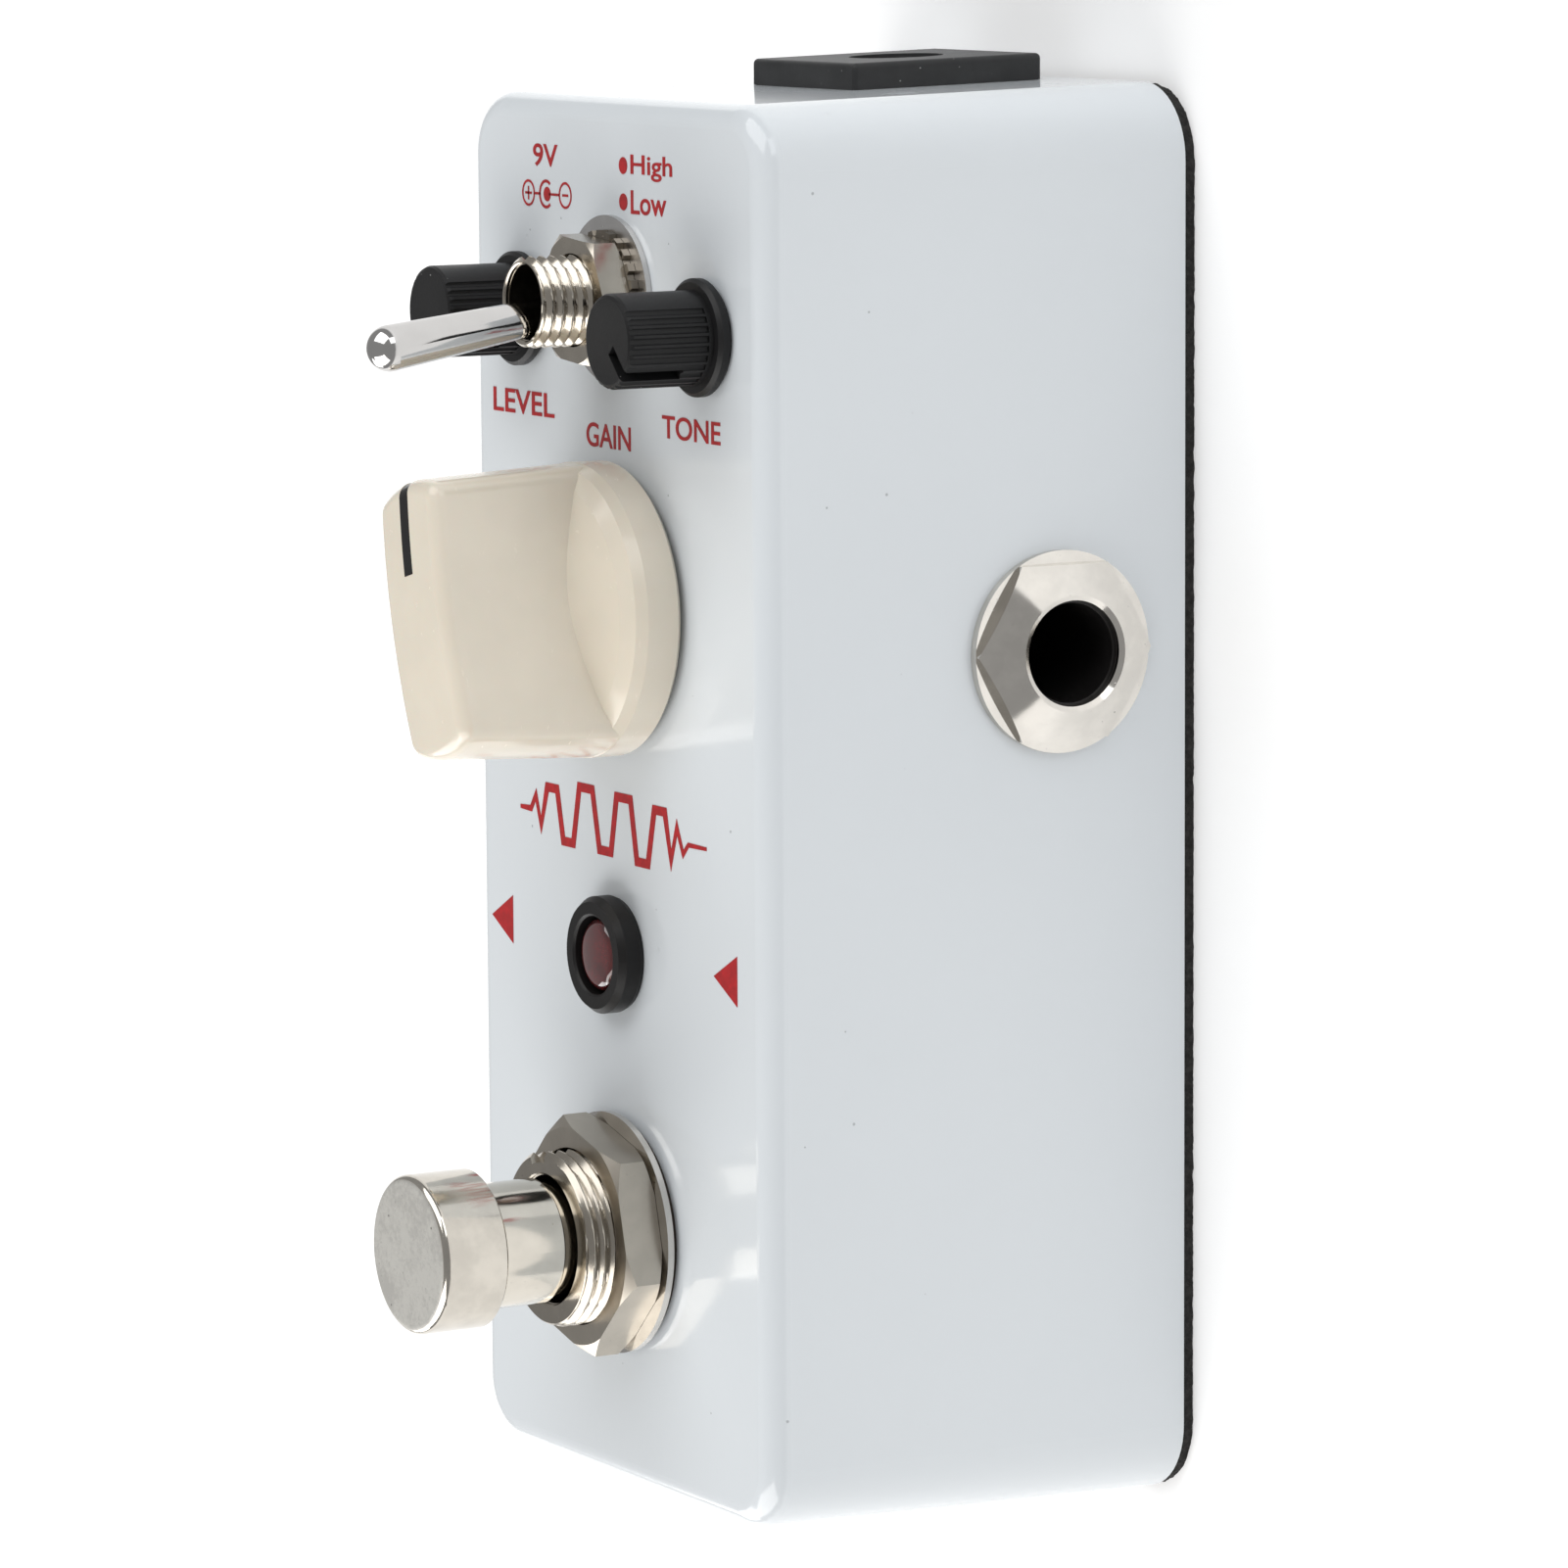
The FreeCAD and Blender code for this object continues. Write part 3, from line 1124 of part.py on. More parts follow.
def make_toggle(s):
    along = s.toggle_along
    low = s.face_height + s.seat_gap
    tube = s.toggle_bushing_radius
    washer = ring("toggle_washer", tube + 0.1, s.toggle_washer_radius, low, s.toggle_washer_top)
    place(washer, 0.0, along)
    keep(washer, "toggle_washer")

    lock = new_body("toggle_lock_washer")
    star = Drawing(lock, "XY", s.toggle_washer_top + s.seat_gap)
    points = []
    teeth = 24
    for step in range(teeth):
        middle = 2 * math.pi * step / teeth
        for offset, scale in ((-0.09, 0.92), (-0.06, 1.0), (0.06, 1.0), (0.09, 0.92)):
            points.append((s.toggle_lock_radius * (scale * math.cos(middle + offset)),
                           s.toggle_lock_radius * (scale * math.sin(middle + offset))))
    star.polygon(points)
    star.circle(0.0, 0.0, tube + 0.1)
    star.add(s.toggle_lock_top - s.toggle_washer_top - s.seat_gap)
    place(lock, 0.0, along)
    keep(lock, "toggle_lock_washer")

    nut = hex_nut("toggle_nut", s.toggle_nut_flats, tube + 0.05, s.toggle_lock_top + s.seat_gap,
                  s.toggle_nut_top, 55.0, 0.45)
    place(nut, 0.0, along)
    keep(nut, "toggle_nut")

    half_w = s.toggle_case_half_width
    half_l = s.toggle_case_half_length
    bushing = new_body("toggle_bushing")
    cover = Drawing(bushing, "XY", s.toggle_case_high + 0.03)
    cover.rectangle((-half_w, -half_l), (half_w, half_l))
    cover.add(0.8)
    barrel = Drawing(bushing, "XZ")
    top = s.toggle_bushing_top
    barrel.polygon([(0.0, s.toggle_case_high + 0.03), (tube, s.toggle_case_high + 0.03),
                    (tube, top - 0.25), (tube - 0.25, top), (0.0, top)])
    barrel.spin()
    bore = Drawing(bushing, "XZ")
    bore.polygon([(0.0, s.toggle_case_high - 1.0), (s.toggle_bore_radius, s.toggle_case_high - 1.0),
                  (s.toggle_bore_radius, top - 0.3), (s.toggle_bore_radius + 0.15, top + 0.5),
                  (0.0, top + 0.5)])
    bore.hollow()
    key = Drawing(bushing, "XY", s.face_height - 1.0)
    key.rectangle((-0.55, tube - 0.3), (0.55, tube + 1.0))
    key.remove(8.0)
    pin = s.toggle_pin_radius
    slots = Drawing(bushing, "XY", s.toggle_case_high - 1.0)
    slots.rectangle((-s.toggle_pin_half - 0.08, -0.05 - pin), (s.toggle_pin_half + 0.08, pin + 0.05))
    slots.remove(s.toggle_pivot + pin + 0.06 - s.toggle_case_high + 1.0)
    place(bushing, 0.0, along)
    keep(bushing, "toggle_bushing")

    case = new_body("toggle_case")
    block = Drawing(case, "XY", s.toggle_case_low)
    block.rectangle((-half_w, -half_l), (half_w, half_l))
    block.add(s.toggle_case_high - s.toggle_case_low)
    well = Drawing(case, "XY", s.toggle_case_low + 1.6)
    well.rectangle((-half_w + 1.0, -half_l + 1.1), (half_w - 1.0, half_l - 1.1))
    well.remove(s.toggle_case_high)
    passages = Drawing(case, "XY", s.toggle_case_low - 1.0)
    for step in (-1, 0, 1):
        passages.rectangle((-0.85, 4.6 * step - 0.45), (0.85, 4.6 * step + 0.45))
    passages.remove(3.0)
    place(case, 0.0, along)
    keep(case, "toggle_case")

    tops = (s.rocker_pivot - 1.4, s.rocker_pivot - s.rocker_knuckle - 0.05, s.rocker_pivot - 1.4)
    lugs = [box("toggle_lug", (-0.8, along + 4.6 * step - 0.4, s.toggle_case_low - 3.0),
                (0.8, along + 4.6 * step + 0.4, top)) for step, top in zip((-1, 0, 1), tops)]
    keep(group("toggle_lugs", lugs), "toggle_lugs")

    ball = s.toggle_ball_radius
    stub = cylinder("lever_stub", 0.8, -6.0, -1.0)
    foot = doc.addObject("Part::Sphere", "lever_foot")
    foot.Radius = 0.8
    place(foot, 0.0, 0.0, -6.0)
    joint = doc.addObject("Part::Sphere", "lever_ball")
    bind(joint, "Radius", ball)
    neck = doc.addObject("Part::Cone", "lever_bat")
    bind(neck, "Radius1", s.toggle_neck_radius - 0.15)
    bind(neck, "Radius2", s.toggle_tip_radius)
    start = 1.5
    bind(neck, "Height", s.toggle_reach - s.toggle_tip_radius - start)
    place(neck, 0.0, 0.0, start)
    tip = doc.addObject("Part::Sphere", "lever_tip")
    bind(tip, "Radius", s.toggle_tip_radius)
    place(tip, 0.0, 0.0, s.toggle_reach - s.toggle_tip_radius)
    pin_bar = cylinder("lever_pin", s.toggle_pin_radius, 0.0, s.toggle_pin_half * 2)
    turn(pin_bar, (0, 1, 0), 90.0)
    place(pin_bar, -s.toggle_pin_half, 0.0)
    lever = fused("toggle_lever", [foot, stub, joint, pin_bar, neck, tip])
    turn(lever, (1, 0, 0), s.toggle_lean)
    place(lever, 0.0, along, s.toggle_pivot)
    keep(lever, "toggle_lever")

    rocker = new_body("toggle_rocker")
    plate = Drawing(rocker, "YZ", -1.6)
    plate.polygon([(-4.3, 0.45), (-4.3, 0.05), (-0.5, -0.25), (0.5, -0.25), (4.3, 0.05), (4.3, 0.45),
                   (0.5, 0.15), (-0.5, 0.15)])
    plate.add(3.2)
    knuckle = Drawing(rocker, "YZ", -1.6)
    knuckle.circle(0.0, 0.0, s.rocker_knuckle)
    knuckle.add(3.2)
    turn(rocker, (1, 0, 0), s.rocker_tilt)
    place(rocker, 0.0, along, s.rocker_pivot)
    keep(rocker, "toggle_rocker")


def make_wiring(s):
    """Insulated wires from the foot switch and the power socket to the board's underside."""
    under = number(s.board_under) - 0.7
    foot = number(s.foot_along)
    lug_low = number(s.foot_case_low) - 5.0
    back = number(s.power_body_back)
    routes = []
    for x in (-4.0, 0.0, 4.0):
        routes.append([(x, foot + 5.0, lug_low), (x, foot + 7.0, 5.2), (x, foot + 10.5, 6.5),
                       (x, -16.6, 13.0), (x, -16.0, under)])
    routes.append([(0.0, back - 3.0, 6.5), (0.8, back - 5.5, 6.4), (2.2, back - 9.0, 10.5), (2.6, 21.5, under)])
    routes.append([(-3.5, back - 3.6, 13.4), (-3.6, back - 6.0, 13.6), (-3.0, back - 9.0, 15.0),
                   (-2.6, 21.5, under)])
    solids = []
    for route in routes:
        points = [FreeCAD.Vector(*point) for point in route]
        curve = Part.BSplineCurve()
        curve.interpolate(points)
        path = Part.Wire([curve.toShape()])
        start = curve.value(curve.FirstParameter)
        heading = curve.tangent(curve.FirstParameter)[0]
        section = Part.Wire([Part.makeCircle(0.5, start, heading)])
        solids.append(path.makePipeShell([section], True, False))
    wiring = doc.addObject("Part::Feature", "wiring")
    wiring.Shape = Part.makeCompound(solids)
    keep(wiring, "wiring")


def check(doc):
    """Stop if any object failed to build."""
    for item in doc.Objects:
        if "Invalid" in item.State or "Error" in item.State:
            raise ValueError("%s failed: %s" % (item.Name, item.State))
    for item in subparts:
        if item.Shape.isNull() or not item.Shape.isValid() or not item.Shape.Solids:
            raise ValueError("%s has no valid solid" % item.Label)


doc = FreeCAD.newDocument("pedal")
sizes = Sheet(doc, SIZES)
make_enclosure(sizes)
make_base(sizes)
make_power_socket(sizes)
make_jack(sizes, "input_jack", sizes.input_along, 1)
make_jack(sizes, "output_jack", sizes.output_along, -1)
make_board(sizes)
make_lamp(sizes)
make_dist_control(sizes)
make_dist_knob(sizes)
make_small_control(sizes, "volume", -1, sizes.volume_along)
make_small_control(sizes, "contour", 1, sizes.contour_along)
make_foot_switch(sizes)
make_toggle(sizes)
make_wiring(sizes)
doc.recompute()
check(doc)
os.makedirs("parts", exist_ok=True)
for item in subparts:
    item.Shape.exportStep("parts/%s.step" % item.Label)
    bounds = item.Shape.BoundBox
    print("%-26s solids %2d volume %9.2f  x %6.2f..%6.2f y %6.2f..%6.2f z %6.2f..%6.2f" % (
        item.Label, len(item.Shape.Solids), item.Shape.Volume, bounds.XMin, bounds.XMax,
        bounds.YMin, bounds.YMax, bounds.ZMin, bounds.ZMax))
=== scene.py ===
import math

import bmesh
import bpy
from bpy.props import FloatProperty, FloatVectorProperty, IntProperty, PointerProperty
from mathutils import Matrix, Vector, noise


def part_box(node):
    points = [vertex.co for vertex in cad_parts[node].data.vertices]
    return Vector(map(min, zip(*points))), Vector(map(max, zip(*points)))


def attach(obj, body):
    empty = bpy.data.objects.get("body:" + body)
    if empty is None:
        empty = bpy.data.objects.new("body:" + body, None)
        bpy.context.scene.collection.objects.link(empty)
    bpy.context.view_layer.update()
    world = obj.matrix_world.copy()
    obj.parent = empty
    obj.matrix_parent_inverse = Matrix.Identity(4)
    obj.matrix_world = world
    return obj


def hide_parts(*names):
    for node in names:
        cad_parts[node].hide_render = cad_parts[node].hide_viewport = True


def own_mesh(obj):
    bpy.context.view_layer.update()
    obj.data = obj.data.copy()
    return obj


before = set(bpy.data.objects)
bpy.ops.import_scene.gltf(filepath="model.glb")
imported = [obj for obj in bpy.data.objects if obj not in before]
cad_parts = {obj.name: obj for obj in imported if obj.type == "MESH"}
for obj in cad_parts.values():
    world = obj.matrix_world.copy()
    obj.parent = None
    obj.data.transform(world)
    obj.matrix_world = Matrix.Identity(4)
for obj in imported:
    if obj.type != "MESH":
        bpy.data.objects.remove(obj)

bl_info = {
    "name": "Miniature Effects Pedal",
    "version": (1, 0, 0),
    "blender": (4, 5, 0),
    "location": "3D View > Sidebar > Pedal",
    "description": "Dresses the packed parts of a miniature guitar effects pedal",
    "category": "Add Mesh",
}

MM = 0.001
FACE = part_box("enclosure")[1].z


# ---------------------------------------------------------------- shader maths

def raw(item):
    """The bare socket of a signal, or the item itself."""
    return item.socket if isinstance(item, Signal) else item


class Signal:
    """A number that varies over a surface; arithmetic on it adds Math nodes."""

    def __init__(self, finish, socket):
        self.finish = finish
        self.socket = socket

    def maths(self, operation, *values):
        inputs = {index: raw(value) for index, value in enumerate(values)}
        made = self.finish.node("ShaderNodeMath", {"operation": operation}, inputs)
        return Signal(self.finish, made.outputs[0])

    def __add__(self, other):
        return self.maths("ADD", self, other)

    def __radd__(self, other):
        return self.maths("ADD", other, self)

    def __sub__(self, other):
        return self.maths("SUBTRACT", self, other)

    def __rsub__(self, other):
        return self.maths("SUBTRACT", other, self)

    def __mul__(self, other):
        return self.maths("MULTIPLY", self, other)

    def __rmul__(self, other):
        return self.maths("MULTIPLY", other, self)

    def __truediv__(self, other):
        return self.maths("DIVIDE", self, other)

    def below(self, limit):
        return self.maths("LESS_THAN", self, limit)

    def ramp(self, start, end):
        """0 before start, 1 after end, smooth between; start may be the larger."""
        made = self.finish.node("ShaderNodeMapRange", {"interpolation_type": "SMOOTHSTEP"},
                                {"Value": self, "From Min": start, "From Max": end})
        return Signal(self.finish, made.outputs["Result"])


class Finish:
    """A procedural material, and the one method that adds its nodes."""

    def __init__(self, name):
        self.material = bpy.data.materials.new(name)
        self.material.use_nodes = True
        self.tree = self.material.node_tree
        self.tree.nodes.clear()
        self.shader = self.node("ShaderNodeBsdfPrincipled")
        self.node("ShaderNodeOutputMaterial", {}, {"Surface": self.shader.outputs["BSDF"]})
        self.where = self.node("ShaderNodeTexCoord").outputs["Object"]

    def node(self, kind, settings=None, inputs=None):
        made = self.tree.nodes.new(kind)
        for name, value in (settings or {}).items():
            setattr(made, name, value)
        for name, value in (inputs or {}).items():
            value = raw(value)
            if isinstance(value, bpy.types.NodeSocket):
                self.tree.links.new(value, made.inputs[name])
            else:
                made.inputs[name].default_value = value
        return made

    def fixed(self, **values):
        """Constants set on the shader's own sockets."""
        for name, value in values.items():
            self.shader.inputs[name.replace("_", " ")].default_value = value
        return self

    def feed(self, name, value):
        self.tree.links.new(raw(value), self.shader.inputs[name])
        return self

    def stretched(self, scale):
        """The surface position scaled differently along each axis."""
        made = self.node("ShaderNodeVectorMath", {"operation": "MULTIPLY"},
                         {0: self.where, 1: scale})
        return made.outputs["Vector"]

    def axis(self, letter, place=None):
        made = self.node("ShaderNodeSeparateXYZ", {}, {0: place or self.where})
        return Signal(self, made.outputs[letter])

    def grain(self, scale, detail=2.0, rough=0.5, place=None):
        made = self.node("ShaderNodeTexNoise", {}, {
            "Vector": place or self.where, "Scale": scale, "Detail": detail, "Roughness": rough})
        return Signal(self, made.outputs[0])

    def specks(self, scale, size, share, place=None):
        """Round specks: size is a share of a cell, share is how many cells hold one."""
        cells = self.node("ShaderNodeTexVoronoi", {}, {
            "Vector": place or self.where, "Scale": scale})
        pick = self.node("ShaderNodeSeparateColor", {}, {0: cells.outputs["Color"]})
        chosen = Signal(self, pick.outputs[0]).below(share)
        variety = Signal(self, pick.outputs[1]) * 0.6 + 0.4
        distance = Signal(self, cells.outputs["Distance"])
        return (distance / variety).ramp(size, size * 0.6) * chosen

    def mixed(self, share, first, second):
        made = self.node("ShaderNodeMix", {"data_type": "RGBA"}, {0: share, 6: first, 7: second})
        return made.outputs[2]

    def bump(self, height, distance, strength=1.0, below=None):
        inputs = {"Height": height, "Distance": distance, "Strength": strength}
        if below is not None:
            inputs["Normal"] = below
        return self.node("ShaderNodeBump", {}, inputs).outputs["Normal"]


def shade(colour, factor):
    return (colour[0] * factor, colour[1] * factor, colour[2] * factor, 1.0)


# ---------------------------------------------------------------- finishes

def enamel(colour):
    """Gloss white enamel with orange peel, pinholes and faint rub marks."""
    f = Finish("gloss_enamel")
    patch = f.grain(45.0, 3.0)
    chips = f.specks(230.0, 0.05, 0.35)
    pin = f.specks(420.0, 0.055, 0.40)
    base = f.mixed(patch.ramp(0.3, 0.7), shade(colour, 0.985), shade(colour, 1.0))
    base = f.mixed(pin * 0.55, base, shade(colour, 0.35))
    base = f.mixed(chips * 0.30, base, shade(colour, 0.62))
    f.feed("Base Color", base)
    rub = f.grain(260.0, 4.0, 0.6, f.stretched((1.0, 7.0, 1.0))).ramp(0.60, 0.72)
    f.feed("Roughness", 0.13 + patch * 0.05 + rub * 0.06 + chips * 0.3)
    peel = f.grain(1150.0, 1.5, 0.45)
    wave = f.grain(330.0, 1.0, 0.4)
    where = f.grain(38.0, 1.0).ramp(0.42, 0.62) * 0.75 + 0.25
    height = peel * where * 0.5 + wave * 0.5 - pin * 1.6 - chips * 0.5
    f.feed("Normal", f.bump(height, 0.000035, 0.55))
    f.fixed(Coat_Weight=0.35, Coat_Roughness=0.06, Specular_IOR_Level=0.5)
    return f.material


def nickel(name, colour, rough=0.13, pitting=0.5, brushed=0.3):
    """Nickel plating: bright, slightly warm, with pits, smears and fine tool lines."""
    f = Finish(name)
    smear = f.grain(520.0, 3.0, 0.55)
    pits = f.specks(1900.0, 0.16, 0.45)
    specks = f.specks(900.0, 0.08, 0.50)
    tone = f.mixed(smear.ramp(0.35, 0.70), shade(colour, 0.94), shade(colour, 1.03))
    f.feed("Base Color", f.mixed(specks * 0.7 + pits * 0.35 * pitting, tone, shade(colour, 0.22)))
    lines = f.grain(2600.0, 2.0, 0.6, f.stretched((1.0, 1.0, 0.25)))
    worn = smear * 0.05 + lines * 0.06 * brushed + pits * 0.2 * pitting
    f.feed("Roughness", worn + (rough - 0.03))
    height = lines * 0.25 * brushed + smear * 0.25 - pits * 0.9 * pitting - specks
    f.feed("Normal", f.bump(height, 0.000012, 0.5))
    f.fixed(Metallic=1.0)
    return f.material


def cap_metal(colour, front):
    """The foot switch cap: bright sides and a matt, pitted and stained front."""
    f = Finish("footswitch_cap_metal")
    height_up = f.axis("Z")
    matt = height_up.ramp(front - 0.00010, front - 0.00002)
    smear = f.grain(420.0, 4.0, 0.6)
    stain = (f.grain(260.0, 4.0, 0.6) + f.grain(2600.0, 3.0, 0.7) * 0.9).ramp(0.75, 1.15)
    pits = f.specks(2100.0, 0.22, 0.60)
    marks = f.specks(620.0, 0.085, 0.90)
    bright = f.mixed(smear.ramp(0.35, 0.70), shade(colour, 0.88), shade(colour, 1.03))
    dull = f.mixed(stain, (0.54, 0.53, 0.495, 1.0), (0.42, 0.41, 0.385, 1.0))
    dull = f.mixed(marks + pits * 0.3, dull, (0.09, 0.085, 0.075, 1.0))
    f.feed("Base Color", f.mixed(matt, bright, dull))
    f.feed("Roughness", matt * (0.40 + stain * 0.12) + smear * 0.08 + 0.07)
    f.feed("Metallic", 1.0 - matt * 0.6)
    relief = smear * 0.4 - pits * (matt * 0.9 + 0.12) - marks * matt
    f.feed("Normal", f.bump(relief, 0.00003, 0.6))
    return f.material


def chrome(colour):
    f = Finish("bright_chrome")
    smear = f.grain(300.0, 4.0, 0.6)
    lines = f.grain(1800.0, 2.0, 0.5, f.stretched((1.0, 1.0, 0.08)))
    f.feed("Base Color", f.mixed(smear.ramp(0.3, 0.7), shade(colour, 0.94), shade(colour, 1.0)))
    f.feed("Roughness", smear * 0.05 + lines * 0.03 + 0.035)
    f.feed("Normal", f.bump(lines * 0.4 + smear * 0.6, 0.000006, 0.4))
    f.fixed(Metallic=1.0)
    return f.material


def cream_plastic(colour):
    """Glossy cream moulding with the soft waviness and marks of a handled knob."""
    f = Finish("cream_moulding")
    cloud = f.grain(160.0, 3.0, 0.5)
    marks = f.specks(600.0, 0.05, 0.07)
    base = f.mixed(cloud.ramp(0.3, 0.7), shade(colour, 0.965), shade(colour, 1.02))
    f.feed("Base Color", f.mixed(marks * 0.5, base, shade(colour, 0.5)))
    scuff = f.grain(900.0, 4.0, 0.65, f.stretched((1.0, 1.0, 3.5))).ramp(0.60, 0.75)
    f.feed("Roughness", 0.16 + cloud * 0.08 + scuff * 0.12)
    f.feed("Normal", f.bump(f.grain(420.0, 1.5) * 0.8 - marks * 0.6, 0.00002, 0.4))
    f.fixed(Subsurface_Weight=0.08, Subsurface_Scale=0.0008, Coat_Weight=0.25, Coat_Roughness=0.08)
    return f.material


def black_plastic(name, colour, rough=0.38, dust=0.6):
    """Satin black moulding with fine texture and pale dust specks."""
    f = Finish(name)
    dusty = f.specks(1250.0, 0.09, 0.50)
    lint = f.specks(640.0, 0.06, 0.60)
    cloud = f.grain(300.0, 4.0, 0.6)
    base = f.mixed(cloud.ramp(0.35, 0.75), shade(colour, 0.85), shade(colour, 1.25))
    f.feed("Base Color", f.mixed((dusty + lint) * dust, base, (0.38, 0.38, 0.37, 1.0)))
    texture = f.grain(4200.0, 2.0, 0.6)
    f.feed("Roughness", cloud * 0.14 + texture * 0.10 + dusty * 0.3 + (rough - 0.10))
    f.feed("Normal", f.bump(texture * 0.35 + cloud * 0.3 + dusty * 1.2, 0.000022, 0.5))
    f.fixed(Specular_IOR_Level=0.26)
    return f.material


def torn_rubber(colour):
    """Coarse black sheet rubber."""
    f = Finish("sheet_rubber")
    coarse = f.grain(2200.0, 5.0, 0.7)
    cells = f.specks(1500.0, 0.42, 0.55)
    base = f.mixed(coarse.ramp(0.35, 0.75), shade(colour, 0.5), shade(colour, 1.7))
    f.feed("Base Color", base)
    f.feed("Roughness", 0.78 + coarse * 0.18)
    f.feed("Normal", f.bump(coarse - cells * 0.5, 0.00012, 0.8))
    f.fixed(Specular_IOR_Level=0.3)
    return f.material


def tinted_lens(colour):
    """Dark red epoxy of an unlit lamp, with a moulded haze."""
    f = Finish("tinted_lens")
    haze = f.grain(700.0, 3.0)
    f.feed("Base Color", f.mixed(haze.ramp(0.3, 0.7), shade(colour, 0.75), shade(colour, 1.25)))
    f.feed("Roughness", 0.05 + haze * 0.05)
    f.feed("Normal", f.bump(f.grain(500.0, 1.0), 0.00001, 0.3))
    f.fixed(Coat_Weight=1.0, Coat_Roughness=0.03, Subsurface_Weight=0.35, Subsurface_Scale=0.0012,
            Specular_IOR_Level=0.6)
    return f.material


def ink(colour):
    """Screen-printed red ink with a slightly uneven edge-to-edge density."""
    f = Finish("red_ink")
    cover = f.grain(1700.0, 4.0, 0.65)
    f.feed("Base Color", f.mixed(cover.ramp(0.35, 0.72), shade(colour, 0.82), shade(colour, 1.12)))
    f.feed("Roughness", 0.26 + cover * 0.12)
    f.feed("Normal", f.bump(cover, 0.000008, 0.4))
    return f.material


def plain(name, colour, rough=0.5, metal=0.0, scale=900.0):
    """A simple moulded or plated finish for pieces seen only with the base off."""
    f = Finish(name)
    cloud = f.grain(scale, 4.0, 0.6)
    marks = f.specks(scale, 0.10, 0.10)
    base = f.mixed(cloud.ramp(0.3, 0.75), shade(colour, 0.82), shade(colour, 1.12))
    f.feed("Base Color", f.mixed(marks * 0.4, base, shade(colour, 0.4)))
    f.feed("Roughness", cloud * 0.18 + (rough - 0.08))
    f.feed("Normal", f.bump(cloud - marks * 0.6, 0.00002, 0.5))
    f.fixed(Metallic=metal)
    return f.material


def plated_sheet(colour):
    """Zinc plated sheet with rolling lines and a faint spangle."""
    f = Finish("plated_sheet")
    lines = f.grain(700.0, 3.0, 0.6, f.stretched((1.0, 0.03, 1.0)))
    patch = f.grain(120.0, 4.0, 0.6)
    f.feed("Base Color", f.mixed(patch.ramp(0.3, 0.7), shade(colour, 0.85), shade(colour, 1.05)))
    f.feed("Roughness", 0.26 + lines * 0.16 + patch * 0.08)
    f.feed("Normal", f.bump(lines, 0.00001, 0.5))
    f.fixed(Metallic=1.0)
    return f.material


# ---------------------------------------------------------------- mesh tools

def wear(node, material):
    """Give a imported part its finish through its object's own material slots."""
    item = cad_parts[node]
    for slot in item.material_slots:
        slot.link = "OBJECT"
        slot.material = material


def new_piece(name, mesh, material, body, smooth=True):
    """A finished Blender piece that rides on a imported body."""
    item = bpy.data.objects.new(name, mesh)
    bpy.context.scene.collection.objects.link(item)
    mesh.materials.clear()
    mesh.materials.append(material)
    for polygon in mesh.polygons:
        polygon.use_smooth = smooth
    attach(item, body)
    return item


def mesh_from(name, vertices, faces):
    mesh = bpy.data.meshes.new(name)
    mesh.from_pydata(vertices, [], faces)
    mesh.update()
    return mesh


def sharpen(mesh, degrees):
    """Smooth shading with creases where faces meet at more than the angle."""
    mesh.set_sharp_from_angle(angle=math.radians(degrees))


def threaded_tube(name, centre, levels, radii, thread, key):
    """A tube whose outside carries a helical thread cut through by one axial key slot.

    levels: foot, start of thread, top.  radii: crest, bore, mouth, mouth depth.
    thread: pitch and depth.  key: direction in degrees, width and depth.
    """
    foot, start, top = levels
    crest, bore, mouth, mouth_depth = radii
    pitch, depth = thread
    key_angle, key_width, key_depth = math.radians(key[0]), key[1], key[2]
    half_key = key_width / 2 / crest
    steps = 168
    angles = [2 * math.pi * index / steps for index in range(steps)]
    angles = [a for a in angles if abs(a - key_angle) > half_key + 0.012]
    for offset in (-half_key - 0.006, -half_key, -half_key * 0.5, 0.0, half_key * 0.5, half_key,
                   half_key + 0.006):
        angles.append(key_angle + offset)
    angles.sort()
    bevel = depth * 0.75
    fine = pitch / 14
    rises = [foot, start - fine]
    count = int((top - start) / fine)
    rises += [start + (top - start) * index / count for index in range(count + 1)]
    rows = []
    for z in rises:
        row = []
        for angle in angles:
            if z < start:
                r = crest - depth * 0.5
            else:
                turn = ((z - start) / pitch - angle / (2 * math.pi)) % 1.0
                rise = 1.0 - abs(2.0 * turn - 1.0)
                r = crest - depth * (1.0 - min(1.0, rise * 1.15))
            r = min(r, crest - max(0.0, bevel - (top - z)))
            if abs(angle - key_angle) <= half_key + 1e-6 and z >= start:
                r = min(r, crest - key_depth)
            row.append((r, z, angle))
        rows.append(row)
    lip = mouth + 0.0001

    def round_row(radius, z):
        return [(radius, z, angle) for angle in angles]

    rows.append(round_row((lip + crest - bevel) / 2, top))
    rows.append(round_row(lip, top))
    rows.append(round_row(mouth, top - 0.0001))
    rows.append(round_row(mouth, top - mouth_depth))
    rows.append(round_row(bore, top - mouth_depth - (mouth - bore) * 0.3))
    rows.append(round_row(bore, foot))
    vertices = []
    for row in rows:
        for radius, z, angle in row:
            vertices.append((centre[0] + radius * math.cos(angle),
                             centre[1] + radius * math.sin(angle), z))
    width = len(angles)
    faces = []
    for level in range(len(rows)):
        below = level * width
        above = ((level + 1) % len(rows)) * width
        for index in range(width):
            ahead = (index + 1) % width
            faces.append((below + index, below + ahead, above + ahead, above + index))
    mesh = mesh_from(name, vertices, faces)
    sharpen(mesh, 32.0)
    return mesh


